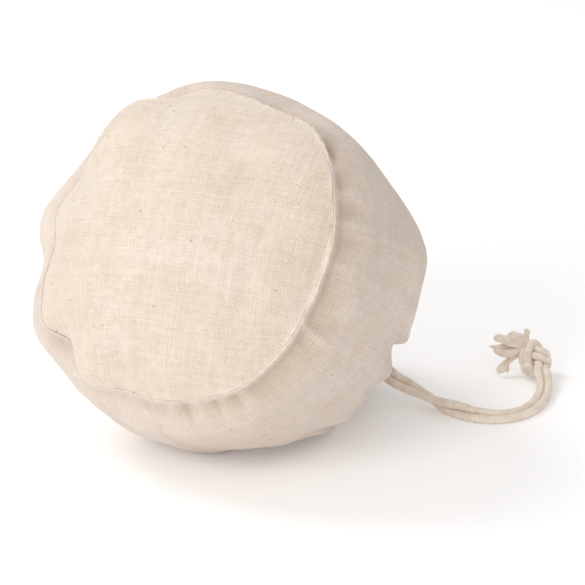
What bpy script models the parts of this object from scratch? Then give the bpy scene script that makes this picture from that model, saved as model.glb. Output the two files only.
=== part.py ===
"""Herbal compress ball: a round-based muslin drawstring pouch, packed with herbs
into a ball, lying on its side with its mouth drawn shut and its knotted cord
laid out on the table.

World frame: metres, +Z up, table at z = 0, origin under the middle of the bag.
Bag frame (empty "bag_frame"): origin at the middle of the base seam, local Z
runs from the base panel to the mouth, local X is the level direction in which
the drawstring leaves the mouth.
"""
import bpy
import bmesh
import math
from mathutils import Matrix, Vector

for old in list(bpy.data.objects):
    bpy.data.objects.remove(old, do_unlink=True)

MM = 0.001

# ---- driving dimensions (mm) ------------------------------------------------
SEAM_RADIUS = 41.75        # base seam, where panel and wall meet
DOME_HEIGHT = 12.5         # how far the stuffed base panel stands out
BELLY_RADIUS = 46.8        # widest part of the wall
BELLY_AT = 11.0            # distance of the widest part from the seam
WALL_LENGTH = 66.0         # seam plane to the foot of the gathered neck
NECK_RADIUS = 10.9         # outside of the gathered mouth
CASING_AT = 75.0           # middle of the drawstring casing
CASING_HALF = 6.6          # half its height
MOUTH_RADIUS = 4.3         # what is left of the hole when drawn shut
CLOTH = 0.6                # muslin with its fuzz and a lining of herb dust
GAP = 0.35                 # clearance between touching pieces
ALLOWANCE = 6.2            # seam allowance turned inside
PLEATS = 10                # gathers round the neck
PLEAT_DEPTH = 0.85
THREAD_R = 0.2             # sewing thread, radius
CORD_R = 1.1               # one strand of drawstring, radius
STEPS = 40                 # segments round the bag
PRESS = 3.5                # how far the ball flattens on the table
PULL_TRAVEL = 5.0          # how far the drawn-tight cord can still be pulled

BAG_PITCH = math.radians(36.6)   # mouth points down by this much
BAG_YAW = math.radians(53.2)     # and this far round from +X
SEAM_CENTRE = Vector((-11.05, -14.35, 56.5))

# where the stuffing pushes the wall out: angle, distance, spreads, height
LUMPS = ((math.radians(-23), 42.0, math.radians(34), 15.0, 3.4),
         (math.radians(150), 30.0, math.radians(30), 14.0, 1.2))

# ---- collections, materials -------------------------------------------------
parts = bpy.data.collections.new("herbal_compress_ball")
cutters = bpy.data.collections.new("cutters")
bpy.context.scene.collection.children.link(parts)
bpy.context.scene.collection.children.link(cutters)


def material(name, colour, roughness, metallic=0.0):
    mat = bpy.data.materials.new(name)
    mat.use_nodes = True
    bsdf = mat.node_tree.nodes["Principled BSDF"]
    bsdf.inputs["Base Color"].default_value = (*colour, 1.0)
    bsdf.inputs["Roughness"].default_value = roughness
    bsdf.inputs["Metallic"].default_value = metallic
    mat.diffuse_color = (*colour, 1.0)
    return mat


def empty(name, parent=None, matrix=None):
    obj = bpy.data.objects.new(name, None)
    obj.empty_display_size = 0.02
    parts.objects.link(obj)
    if matrix is not None:
        obj.matrix_world = matrix
    if parent is not None:
        obj.parent = parent
        obj.matrix_parent_inverse = parent.matrix_world.inverted()
    return obj


# bag frame: Z = bag axis, X = level, Y completes it (points down and forward)
axis_z = Vector((math.cos(BAG_PITCH) * math.cos(BAG_YAW),
                 math.cos(BAG_PITCH) * math.sin(BAG_YAW), -math.sin(BAG_PITCH)))
axis_x = Vector((math.sin(BAG_YAW), -math.cos(BAG_YAW), 0.0))
axis_y = axis_z.cross(axis_x)
BAG = Matrix((axis_x, axis_y, axis_z)).transposed().to_4x4()
BAG.translation = SEAM_CENTRE * MM
bag_frame = empty("bag_frame", matrix=BAG)


def bag_point(r, theta, a):
    """World position (mm) of a point given in the bag's round coordinates."""
    return (BAG.to_3x3() @ Vector((r * math.cos(theta), r * math.sin(theta), a))) + SEAM_CENTRE


# ---- shape of the bag -------------------------------------------------------
def smooth(lo, hi, x):
    t = min(max((x - lo) / (hi - lo), 0.0), 1.0)
    return t * t * (3.0 - 2.0 * t)


def wall_radius(a):
    """Middle of the wall cloth, from the seam (a = 0) to the neck."""
    if a <= BELLY_AT:
        return SEAM_RADIUS + (BELLY_RADIUS - SEAM_RADIUS) * math.sin(
            0.5 * math.pi * max(a, 0.0) / BELLY_AT)
    q = min((a - BELLY_AT) / (WALL_LENGTH - BELLY_AT), 1.0)
    return NECK_RADIUS + (BELLY_RADIUS - NECK_RADIUS) * math.sqrt(1.0 - q ** 2.2)


def shaped(r, theta, a):
    """Radius with the stuffing's lumps and the neck's pleats added."""
    for at, dist, spread, length, height in LUMPS:
        turn = (theta - at + math.pi) % (2.0 * math.pi) - math.pi
        r += height * math.exp(-(turn / spread) ** 2 - ((a - dist) / length) ** 2) * (
            min(r / 30.0, 1.0) ** 2)
    return r + PLEAT_DEPTH * smooth(52.0, 67.0, a) * math.cos(PLEATS * theta)


def ribbon(middle, thickness):
    """Closed outline of a strip of cloth that follows the points (r, a)."""
    left, right = [], []
    last = len(middle) - 1
    for i, (r, a) in enumerate(middle):
        r0, a0 = middle[max(i - 1, 0)]
        r1, a1 = middle[min(i + 1, last)]
        n = Vector((a1 - a0, -(r1 - r0))).normalized() * (0.5 * thickness)
        left.append((r + n.x, a + n.y))
        right.append((r - n.x, a - n.y))
    return left, right


def mesh_object(name, mesh, mat, parent=None):
    obj = bpy.data.objects.new(name, mesh)
    parts.objects.link(obj)
    if parent is not None:
        obj.parent = parent
    mesh.materials.clear()
    mesh.materials.append(mat)
    return obj


def turned(name, outline, closed, mat, steps=STEPS, parent=bag_frame):
    """Turn an outline (r, a) in mm about the bag axis with a Screw modifier."""
    mesh = bpy.data.meshes.new(name)
    verts = [(r * MM, 0.0, a * MM) for r, a in outline]
    edges = [(i, i + 1) for i in range(len(verts) - 1)]
    if closed:
        edges.append((len(verts) - 1, 0))
    mesh.from_pydata(verts, edges, [])
    tmp = bpy.data.objects.new(name + "_profile", mesh)
    parts.objects.link(tmp)
    screw = tmp.modifiers.new("turn", "SCREW")
    screw.angle = 2.0 * math.pi
    screw.steps = screw.render_steps = steps
    screw.use_merge_vertices = True
    screw.merge_threshold = 0.00001
    bpy.context.view_layer.update()
    solid = bpy.data.meshes.new_from_object(
        tmp.evaluated_get(bpy.context.evaluated_depsgraph_get()))
    bpy.data.objects.remove(tmp, do_unlink=True)
    solid.name = name
    bm = bmesh.new()
    bm.from_mesh(solid)
    bmesh.ops.remove_doubles(bm, verts=bm.verts, dist=0.000005)
    bmesh.ops.recalc_face_normals(bm, faces=bm.faces)
    bm.to_mesh(solid)
    bm.free()
    solid.shade_smooth()
    return mesh_object(name, solid, mat, parent)


def reshape(obj, floor, lumps=True):
    """Give a turned piece the bag's lumps and pleats, and press it flat where
    it would go below floor (mm above the table)."""
    world = BAG
    back = BAG.inverted()
    for v in obj.data.vertices:
        x, y, z = v.co.x / MM, v.co.y / MM, v.co.z / MM
        r = math.hypot(x, y)
        if lumps and r > 0.01:
            theta = math.atan2(y, x)
            f = shaped(r, theta, z) / r
            v.co.x *= f
            v.co.y *= f
        p = world @ v.co
        if p.z < floor(r, z) * MM:
            p.z = floor(r, z) * MM
            v.co = back @ p
    obj.data.update()


def tube(name, points, radius, mat, cyclic=False, sides=2, parent=None):
    """A round cord or thread through world points (mm)."""
    curve = bpy.data.curves.new(name, "CURVE")
    curve.dimensions = "3D"
    curve.bevel_depth = radius * MM
    curve.bevel_resolution = sides
    curve.use_fill_caps = not cyclic
    spline = curve.splines.new("POLY")
    spline.points.add(len(points) - 1)
    inv = parent.matrix_world.inverted() if parent is not None else Matrix()
    for p, q in zip(spline.points, points):
        p.co = (*(inv @ (Vector(q) * MM)), 1.0)
    spline.use_cyclic_u = cyclic
    curve.materials.append(mat)
    obj = bpy.data.objects.new(name, curve)
    parts.objects.link(obj)
    if parent is not None:
        obj.parent = parent
    return obj


def spline_through(route, count):
    """Evenly spaced points on a Catmull-Rom curve through the route."""
    pts = [Vector(p) for p in route]
    pts = [2 * pts[0] - pts[1]] + pts + [2 * pts[-1] - pts[-2]]
    fine = []
    for i in range(1, len(pts) - 2):
        p0, p1, p2, p3 = pts[i - 1:i + 3]
        for j in range(24):
            t = j / 24.0
            fine.append(0.5 * ((2 * p1) + (p2 - p0) * t
                               + (2 * p0 - 5 * p1 + 4 * p2 - p3) * t * t
                               + (3 * p1 - p0 - 3 * p2 + p3) * t ** 3))
    fine.append(pts[-2])
    run = [0.0]
    for a, b in zip(fine, fine[1:]):
        run.append(run[-1] + (b - a).length)
    out, k = [], 0
    for i in range(count):
        s = run[-1] * i / (count - 1)
        while k < len(run) - 2 and run[k + 1] < s:
            k += 1
        f = (s - run[k]) / max(run[k + 1] - run[k], 1e-9)
        out.append(fine[k].lerp(fine[k + 1], f))
    return out, run[-1]


# ---- cloth ------------------------------------------------------------------
muslin = material("unbleached_muslin", (0.84, 0.76, 0.65), 0.9)
muslin_wall = material("unbleached_muslin_wall", (0.80, 0.72, 0.62), 0.9)
thread_mat = material("cotton_thread", (0.80, 0.74, 0.64), 0.7)
cord_mat = material("cotton_cord", (0.66, 0.60, 0.52), 0.85)

LAYER = CLOTH + GAP                         # one cloth against the next
FOLD = 0.5 * (CLOTH + 2.0 * GAP + 2.0 * THREAD_R)   # half the gap round the thread

# side panel: its allowance turned in at the base seam, up the wall, round the
# neck, over the mouth's edge and back inside as the casing's hem
side = []
for i in range(2):
    a = ALLOWANCE - (ALLOWANCE - 0.9) * i
    side.append((wall_radius(a) - 2.0 * FOLD, a))
for i in range(1, 4):
    turn = math.pi * i / 4.0
    side.append((wall_radius(0.9) - FOLD - FOLD * math.cos(turn), 0.9 - FOLD * math.sin(turn)))
for a in (0.9, 5.0, 11.0, 20.0, 30.0, 39.5, 48.0, 55.0, 60.5, 64.2):
    side.append((wall_radius(a), a))
casing_low = CASING_AT - CASING_HALF
casing_top = CASING_AT + CASING_HALF
side += [(NECK_RADIUS + 0.6, 66.6), (NECK_RADIUS, casing_low + 0.4), (NECK_RADIUS + 0.1, CASING_AT - 2.6),
         (NECK_RADIUS + 0.1, CASING_AT + 2.6), (NECK_RADIUS - 1.4, casing_top - 1.6),
         (0.5 * (NECK_RADIUS + MOUTH_RADIUS), casing_top),
         (MOUTH_RADIUS + 0.9, casing_top - 1.4), (MOUTH_RADIUS, CASING_AT + 2.4),
         (MOUTH_RADIUS, CASING_AT - 2.6), (MOUTH_RADIUS + 1.8, casing_low + 1.2),
         (NECK_RADIUS - 2.2, casing_low + 0.6)]
left, right = ribbon(side, CLOTH)
side_panel = turned("side_panel", left + right[::-1], True, muslin_wall)
reshape(side_panel, lambda r, a: 0.0 if r > wall_radius(a) - 0.05 or a > WALL_LENGTH else
        (CLOTH if r > wall_radius(a) - 0.5 else 2.0 * FOLD + 0.2))

# base panel: domed disc whose allowance is turned in beside the wall's
rim = SEAM_RADIUS - 2.0 * FOLD - LAYER
base = []
for i in range(10):
    u = i / 9.0
    rho = math.sin(0.5 * math.pi * u)
    base.append(((rim + 0.55) * rho, -DOME_HEIGHT * max(1.0 - rho ** 1.9, 0.0) ** (1.0 / 1.9)
                 - 0.55))
for a in (0.6, 3.2, ALLOWANCE):
    base.append((wall_radius(a) - 2.0 * FOLD - LAYER, a))
left, right = ribbon(base, CLOTH)
left[0], right[0] = (0.0, left[0][1]), (0.0, right[0][1])
base_panel = turned("base_panel", left + right[::-1], False, muslin)

# ---- sewing thread ----------------------------------------------------------


def ring(name, radius, a, mat, thick=THREAD_R, segments=40):
    bpy.ops.mesh.primitive_torus_add(major_segments=segments, minor_segments=5,
                                     major_radius=radius * MM, minor_radius=thick * MM,
                                     location=(0, 0, 0))
    obj = bpy.context.object
    for c in list(obj.users_collection):
        c.objects.unlink(obj)
    parts.objects.link(obj)
    obj.name = obj.data.name = name
    obj.data.materials.append(mat)
    obj.location = (0.0, 0.0, a * MM)
    obj.parent = bag_frame
    obj.data.shade_smooth()
    return obj


stitch_a = 2.6
inner = wall_radius(stitch_a) - 2.0 * FOLD - LAYER
ring("base_seam_needle_thread", wall_radius(stitch_a) - FOLD, stitch_a, thread_mat)
ring("base_seam_bobbin_thread", inner - 0.5 * CLOTH - GAP - THREAD_R, stitch_a, thread_mat)
ring("base_seam_overlock_thread", wall_radius(ALLOWANCE) - 2.0 * FOLD - 0.4 * LAYER,
     ALLOWANCE + GAP + 0.55, thread_mat, thick=0.45)

# side seam: runs along the underside of the wall inside, from base to casing
SIDE_SEAM = math.radians(84.0)


def along_wall(offset, turn, start, stop, count):
    pts = []
    for i in range(count):
        a = start + (stop - start) * i / (count - 1)
        d = 0.3
        slope = (wall_radius(a + d) - wall_radius(a - d)) / (2 * d)
        n = Vector((1.0, -slope)).normalized()
        deep = offset + 1.0 * smooth(34.0, 54.0, a)      # the gathers thicken the cloth here
        r = shaped(wall_radius(a), SIDE_SEAM, a) - deep * n.x
        p = bag_point(r, SIDE_SEAM + turn / max(r, 8.0), a - deep * n.y)
        p.z = max(p.z, deep + 0.1)
        pts.append(p)
    return pts


seam_in = 0.5 * CLOTH + GAP + THREAD_R
tube("side_seam_thread", along_wall(seam_in + 0.6, 0.0, 9.5, 55.0, 20), THREAD_R, thread_mat, sides=0,
     parent=bag_frame)
tube("side_seam_overlock_thread", along_wall(seam_in + 0.95, 5.0, 9.5, 54.0, 20), 0.4, thread_mat,
     sides=0, parent=bag_frame)


def neck_ring(name, radius, a, mat, thick=THREAD_R):
    pts = []
    for i in range(STEPS):
        th = 2.0 * math.pi * i / STEPS
        pts.append(bag_point(radius + PLEAT_DEPTH * math.cos(PLEATS * th), th, a))
    return tube(name, pts, thick, mat, cyclic=True, sides=0, parent=bag_frame)


neck_ring("casing_needle_thread", NECK_RADIUS + 0.5 * CLOTH + GAP + THREAD_R + 0.1, casing_low + 1.1,
          thread_mat)
neck_ring("casing_bobbin_thread", NECK_RADIUS - 2.0 * LAYER - 1.45, casing_low + 0.55 - 1.3, thread_mat)

# ---- drawstring -------------------------------------------------------------
# it leaves the casing through a buttonhole; both strands run level, one above
# the other, then droop to the table, cross once and lie side by side
EXIT_SIDE = 2.0            # exit lies this far below the bag's own level line
STRAND = CORD_R + 0.15     # half the distance between the strands' centres
# pull_origin: middle of the strands where they pass through the casing's wall
exit_r = math.sqrt((NECK_RADIUS + 0.3) ** 2 - EXIT_SIDE ** 2)
pull_origin = bag_point(0.0, 0.0, CASING_AT) + axis_x * exit_r + axis_y * EXIT_SIDE
pull_frame_matrix = Matrix((axis_x, Vector((0, 0, 1)).cross(axis_x), Vector((0, 0, 1)))).transposed().to_4x4()
pull_frame_matrix.translation = pull_origin * MM
pull_frame = empty("drawstring_pull_axis", matrix=pull_frame_matrix)

inner_clear = MOUTH_RADIUS + 0.5 * CLOTH + PLEAT_DEPTH + 0.45
stub = exit_r - math.sqrt(max(inner_clear ** 2 - EXIT_SIDE ** 2, 1.0))
route = [pull_origin - axis_x * stub, pull_origin - axis_x * (0.5 * stub), pull_origin,
         pull_origin + axis_x * 2.6 + Vector((0, 0, -0.25))]
route += [Vector(p) for p in ((40.8, 19.5, 6.5), (44.9, 17.2, 4.9), (49.1, 14.6, 3.5),
                              (53.1, 11.5, 2.4), (57.1, 8.6, 1.75), (61.2, 6.3, 1.4),
                              (66.2, 5.3, 1.35), (71.4, 6.4, 1.35), (75.8, 10.1, 1.35),
                              (79.1, 16.2, 1.35), (80.6, 22.5, 1.7), (80.8, 27.2, 2.8),
                              (80.4, 29.9, 3.7))]
COUNT = 36
centre, cord_run = spline_through(route, COUNT)
# turn of the pair about its own centreline: 0 = front strand level and in front
LEAVE = -90.0 + math.degrees(BAG_PITCH)     # side by side along the casing as they leave it
TWIST = ((0.0, LEAVE), (0.14, LEAVE), (0.20, -46.0), (0.27, -28.0), (0.35, 22.0), (0.44, 84.0),
         (0.52, 140.0), (0.62, 165.0), (0.80, 172.0), (0.92, 180.0), (1.0, 180.0))


def twist_at(f):
    for (f0, t0), (f1, t1) in zip(TWIST, TWIST[1:]):
        if f <= f1:
            k = smooth(f0, f1, f)
            return math.radians(t0 + (t1 - t0) * (0.5 * k + 0.5 * (f - f0) / (f1 - f0)))
    return math.radians(TWIST[-1][1])


strand_a, strand_b = [], []
for i, p in enumerate(centre):
    tangent = (centre[min(i + 1, COUNT - 1)] - centre[max(i - 1, 0)]).normalized()
    level = Vector((0, 0, 1)).cross(tangent).normalized() * -1.0   # to the front / right-hand side
    up = tangent.cross(level) * -1.0
    if up.z < 0:
        up.negate()
    t = twist_at(i / (COUNT - 1))
    off = level * math.cos(t) + up * math.sin(t)
    low = CORD_R + 0.05
    lift = max(0.0, low - min((p + off * STRAND).z, (p - off * STRAND).z))
    q = p + Vector((0, 0, lift))
    strand_a.append(q + off * STRAND)
    strand_b.append(q - off * STRAND)
tube("drawstring_strand_a", strand_a, CORD_R, cord_mat, parent=pull_frame)
tube("drawstring_strand_b", strand_b, CORD_R, cord_mat, parent=pull_frame)

# the loop that lies in the casing and gathers the mouth
loop = []
loop_r = 0.5 * (NECK_RADIUS + MOUTH_RADIUS)
for i in range(30):
    th = math.radians(11.0 + 38.0 + (360.0 - 76.0) * i / 29.0)
    loop.append(bag_point(loop_r, th, CASING_AT))
tube("drawstring_loop", loop, CORD_R, cord_mat, parent=bag_frame)

# buttonhole: an oval opening through the casing's outer layer only
hole_w = 2.0 * STRAND + 2.0 * CORD_R + 1.0
hole_h = 2.0 * CORD_R + 1.0
bpy.ops.mesh.primitive_cylinder_add(vertices=20, radius=0.5 * hole_h * MM, depth=6.4 * MM)
cutter = bpy.context.object
cutter.name = "buttonhole_cutter"
for c in list(cutter.users_collection):
    c.objects.unlink(cutter)
cutters.objects.link(cutter)
half = 0.5 * (hole_w - hole_h) * MM
for v in cutter.data.vertices:                 # stretch the round into an oval
    if v.co.y > 1e-6:
        v.co.y += half
    elif v.co.y < -1e-6:
        v.co.y -= half
cutter.matrix_world = (Matrix.Translation((pull_origin + axis_x * 0.2) * MM)
                       @ Matrix((axis_z, axis_y, -axis_x)).transposed().to_4x4())
cutter.hide_render = True
cutter.display_type = "WIRE"
cut = side_panel.modifiers.new("buttonhole", "BOOLEAN")
cut.operation = "DIFFERENCE"
cut.object = cutter
cut.solver = "EXACT"

# its worked edge: thread laid round the opening on the outside
edge = []
for i in range(24):
    t = 2.0 * math.pi * i / 24
    y = (0.5 * hole_w + 0.55) * math.sin(t) + EXIT_SIDE
    z = (0.5 * hole_h + 0.55) * math.cos(t)
    th = math.asin(y / (NECK_RADIUS + 1.0))
    r = NECK_RADIUS + 0.1 + 0.5 * CLOTH + GAP + 0.3 + PLEAT_DEPTH * math.cos(PLEATS * th)
    edge.append(bag_point(r, math.asin(y / r), CASING_AT + z))
tube("buttonhole_thread", edge, 0.25, thread_mat, cyclic=True, sides=0, parent=bag_frame)

# ---- knot and frayed ends ---------------------------------------------------
KNOT = Vector((79.0, 36.3, 4.65))
KNOT_SIZE = Vector((3.6, 5.5, 4.5))
bpy.ops.mesh.primitive_uv_sphere_add(segments=14, ring_count=10, radius=1.0)
knot = bpy.context.object
for c in list(knot.users_collection):
    c.objects.unlink(knot)
parts.objects.link(knot)
knot.name = knot.data.name = "drawstring_knot"
knot.data.materials.append(cord_mat)
for v in knot.data.vertices:                   # three wraps of the doubled cord
    n = v.co.normalized()
    wraps = 1.0 + 0.06 * math.cos(3.0 * math.pi * n.y) * (1.0 - n.y * n.y)
    v.co = Vector((n.x * KNOT_SIZE.x * wraps, n.y * KNOT_SIZE.y, n.z * KNOT_SIZE.z * wraps)) * MM
knot.parent = pull_frame
knot.location = pull_frame_matrix.inverted() @ (KNOT * MM)
knot.rotation_euler = (0.0, 0.0, -math.atan2(axis_x.y, axis_x.x))
knot.data.shade_smooth()

# cut ends opened into their plies: start on the knot, tip, radius
PLIES = (((75.4, 41.5, 5.4), (72.3, 44.1, 6.2), (69.1, 46.6, 6.4), 0.62),
         ((75.0, 40.9, 3.9), (71.3, 43.8, 3.4), (67.6, 45.7, 3.9), 0.62),
         ((75.2, 42.6, 7.0), (74.4, 44.5, 7.6), (72.7, 45.9, 7.3), 0.55),
         ((74.7, 39.0, 2.3), (72.4, 39.7, 1.8), (69.3, 35.5, 1.1), 0.75),
         ((74.4, 36.8, 1.0), (73.4, 37.9, 0.8), (71.9, 34.7, 0.7), 0.32),
         ((77.5, 41.8, 7.6), (77.2, 44.2, 8.2), (77.2, 46.1, 8.3), 0.6),
         ((74.4, 40.7, 8.3), (73.6, 43.0, 8.7), (73.8, 45.5, 8.6), 0.28))
for i, (start, mid, tip, radius) in enumerate(PLIES, 1):
    toward = Vector(start) - KNOT
    grow = math.sqrt((toward.x / KNOT_SIZE.x) ** 2 + (toward.y / KNOT_SIZE.y) ** 2
                     + (toward.z / KNOT_SIZE.z) ** 2)
    root = toward / grow                                    # on the knot's surface
    out = Vector((root.x / KNOT_SIZE.x ** 2, root.y / KNOT_SIZE.y ** 2,
                  root.z / KNOT_SIZE.z ** 2)).normalized()
    root += KNOT + out * 0.6
    root.z = max(root.z, radius + 0.1)
    pts, _ = spline_through([root, root + out * 0.9, Vector(mid), Vector(tip)], 7)
    for p in pts:
        p.z = max(p.z, radius + 0.05)
    tube("frayed_ply_%d" % i, pts, radius, cord_mat, parent=pull_frame)

# ---- filling ----------------------------------------------------------------
herb = material("chopped_dry_herbs", (0.30, 0.24, 0.10), 0.95)
plai = material("plai_root", (0.72, 0.55, 0.22), 0.8)
turmeric = material("turmeric_root", (0.80, 0.38, 0.04), 0.8)
lemongrass = material("lemongrass", (0.55, 0.56, 0.27), 0.7)
lime = material("kaffir_lime_peel", (0.16, 0.27, 0.07), 0.6)
camphor = material("camphor", (0.90, 0.91, 0.92), 0.3)

FILL_IN = 5.4              # packed herbs start this far inside the wall
CORE_R = 20.0              # room in the middle for the coarse pieces
CORE_END = 45.0
cup = [(CORE_R, 4.0), (28.0, 3.6), (wall_radius(4.0) - FILL_IN - 0.6, 4.2)]
for a in (7.5, 12.0, 19.0, 28.0, 37.0, 45.0, 51.0):
    cup.append((wall_radius(a) - FILL_IN * (1.0 + 0.009 * max(a - 11.0, 0.0)), a))
cup += [(26.0, 54.5), (14.0, 57.0), (0.0, 57.8), (0.0, CORE_END), (CORE_R - 2.0, CORE_END),
        (CORE_R, CORE_END - 2.0)]
# open ring closed on the axis: outer side first, then the core's inside
outline = cup[12:13][::-1] + cup[:0]
outer = [cup[12], cup[11], cup[10]] + cup[2:10][::-1] + [cup[1], cup[0], cup[15], cup[14], cup[13]]
filling = turned("herb_packing", outer, False, herb, steps=30)
reshape(filling, lambda r, a: 3.5 if r > 20 else 0.0)

lid_r = rim - 3.6
lid = [(0.0, -9.9), (12.0, -9.2), (24.0, -6.9), (31.5, -4.0), (lid_r, 0.2), (lid_r - 1.0, 2.6),
       (24.0, 3.0), (0.0, 3.2)]
turned("herb_packing_lid", lid, False, herb, steps=24)


def inside(name, mesh_maker, mat, r, turn, a, tilt=(0.0, 0.0, 0.0)):
    """Put a piece of the coarse filling at a place in the core."""
    bpy.ops.object.select_all(action="DESELECT")
    mesh_maker()
    obj = bpy.context.object
    for c in list(obj.users_collection):
        c.objects.unlink(obj)
    parts.objects.link(obj)
    obj.name = obj.data.name = name
    obj.data.materials.clear()
    obj.data.materials.append(mat)
    obj.parent = bag_frame
    obj.location = (r * math.cos(turn) * MM, r * math.sin(turn) * MM, a * MM)
    obj.rotation_euler = tilt
    return obj


def slice_of_root(radius, thick, knobs):
    """A round slice with the root's uneven outline."""
    def make():
        bpy.ops.mesh.primitive_cylinder_add(vertices=14, radius=radius * MM, depth=thick * MM)
        for v in bpy.context.object.data.vertices:
            t = math.atan2(v.co.y, v.co.x)
            f = 1.0 - 0.07 * (1.0 + math.cos(knobs * t)) * 0.5 - 0.05 * (1.0 + math.sin(2 * t)) * 0.5
            v.co.x *= f
            v.co.y *= f
        b = bpy.context.object.modifiers.new("soft_edge", "BEVEL")
        b.width = 0.35 * MM
        b.segments = 1
        b.limit_method = "ANGLE"
    return make


def stem(radius, bore, length):
    """A cut length of stem, hollow right through."""
    def make():
        mesh = bpy.data.meshes.new("stem")
        half_l = 0.5 * length
        prof = [(radius, half_l), (radius * 1.06, 0.0), (radius, -half_l), (bore, -half_l), (bore, half_l)]
        mesh.from_pydata([(r * MM, 0, z * MM) for r, z in prof],
                         [(i, (i + 1) % 5) for i in range(5)], [])
        obj = bpy.data.objects.new("stem", mesh)
        bpy.context.scene.collection.objects.link(obj)
        m = obj.modifiers.new("turn", "SCREW")
        m.angle = 2 * math.pi
        m.steps = m.render_steps = 12
        m.merge_threshold = 0.00001
        bpy.context.view_layer.objects.active = obj
        obj.select_set(True)
    return make


def peel(radius, thick):
    """A curved piece of rind: part of a ball, given thickness."""
    def make():
        bpy.ops.mesh.primitive_uv_sphere_add(segments=12, ring_count=10, radius=radius * MM)
        obj = bpy.context.object
        bm = bmesh.new()
        bm.from_mesh(obj.data)
        gone = [v for v in bm.verts if v.co.z < 0.55 * radius * MM]
        bmesh.ops.delete(bm, geom=gone, context="VERTS")
        bm.to_mesh(obj.data)
        bm.free()
        s = obj.modifiers.new("rind", "SOLIDIFY")
        s.thickness = thick * MM
        s.offset = -1.0
    return make


def lump_of(size):
    def make():
        bpy.ops.mesh.primitive_cube_add(size=size * MM)
        b = bpy.context.object.modifiers.new("worn", "BEVEL")
        b.width = 0.22 * size * MM
        b.segments = 2
    return make


third = 2.0 * math.pi / 3.0
for i in range(3):
    inside("plai_slice_%d" % (i + 1), slice_of_root(8.0, 3.0, 3 + i), plai, 10.2, third * i + 0.4, 8.0,
           (0.06 * (i - 1), 0.05, 0.7 * i))
for i in range(2):
    inside("turmeric_slice_%d" % (i + 1), slice_of_root(6.2, 2.4, 4), turmeric, 10.5,
           math.pi * i + 0.2, 13.2, (0.05, -0.06 + 0.1 * i, 1.1 * i))
for i in range(2):
    inside("kaffir_lime_peel_%d" % (i + 1), peel(9.0, 1.3), lime, 11.2, math.pi * (i + 0.5) + 0.2, 7.4)
for i in range(3):
    inside("lemongrass_stem_%d" % (i + 1), stem(3.4 - 0.2 * i, 1.1, 24.0), lemongrass, 10.5,
           third * i + 0.9, 30.5, (0.0, 0.05 * (i - 1), 0.0))
inside("camphor_lump_1", lump_of(7.0), camphor, 0.0, 0.0, 24.0, (0.3, 0.4, 0.2))
inside("camphor_lump_2", lump_of(6.0), camphor, 0.0, 0.0, 35.0, (0.5, -0.3, 0.6))
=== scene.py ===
"""Herbal compress ball: a drawstring muslin bag packed with herbs, lying on its side.

Everything is in metres. The bag's own frame has its axis through the middle of the round
base panel and the gathered mouth; angles run round that axis and distances are measured
along it from the base seam. Shape tables below are in millimetres.
"""
import math

import bmesh
import bpy
import numpy as np
from mathutils import Matrix, Vector


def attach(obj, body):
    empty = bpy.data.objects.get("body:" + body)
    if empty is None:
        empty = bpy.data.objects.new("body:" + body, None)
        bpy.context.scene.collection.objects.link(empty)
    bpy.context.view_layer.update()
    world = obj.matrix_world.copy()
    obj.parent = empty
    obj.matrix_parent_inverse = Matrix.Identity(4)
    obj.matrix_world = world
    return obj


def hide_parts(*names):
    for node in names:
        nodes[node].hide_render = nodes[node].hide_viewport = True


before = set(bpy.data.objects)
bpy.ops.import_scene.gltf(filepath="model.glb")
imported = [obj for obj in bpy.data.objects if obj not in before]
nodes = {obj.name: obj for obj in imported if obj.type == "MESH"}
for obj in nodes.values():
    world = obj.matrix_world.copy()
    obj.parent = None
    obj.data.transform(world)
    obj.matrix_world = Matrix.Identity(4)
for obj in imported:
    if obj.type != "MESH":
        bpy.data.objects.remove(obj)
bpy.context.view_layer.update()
MM = 0.001

# ------------------------------------------------------------------ camera, floor, light
AIM = np.array([15.08, -2.48, 38.93]) * MM
BACK = 0.9
LOOK = math.radians(22.0)


def add_camera():
    data = bpy.data.cameras.new("photo_camera")
    data.lens, data.sensor_width = 221.5, 36.0
    data.clip_start, data.clip_end = 0.01, 20.0
    cam = bpy.data.objects.new("photo_camera", data)
    bpy.context.scene.collection.objects.link(cam)
    away = Vector((0.0, -math.cos(LOOK), math.sin(LOOK)))
    cam.location = Vector(AIM) + away * BACK
    cam.rotation_euler = (math.radians(90.0) - LOOK, 0.0, 0.0)
    bpy.context.scene.camera = cam


def lamp(name, place, size, power, colour=(1.0, 1.0, 1.0)):
    data = bpy.data.lights.new(name, "AREA")
    data.shape, data.size, data.energy, data.color = "DISK", size, power, colour
    o = bpy.data.objects.new(name, data)
    o.location = place
    o.rotation_euler = (Vector((0, 0, 0.045)) - Vector(place)).to_track_quat("-Z", "Y").to_euler()
    bpy.context.scene.collection.objects.link(o)


add_camera()
scene = bpy.context.scene
scene.view_settings.view_transform = "Standard"
world = bpy.data.worlds.new("studio")
scene.world = world
world.use_nodes = True
world.node_tree.nodes["Background"].inputs[0].default_value = (1.0, 0.985, 0.98, 1.0)
world.node_tree.nodes["Background"].inputs[1].default_value = 0.645
lamp("key", (-0.62, -0.78, 0.62), 0.50, 4.45)
lamp("top", (-0.62, 0.28, 0.86), 0.55, 3.4)
lamp("fill", (0.30, -0.75, 0.85), 0.60, 1.0)


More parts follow.
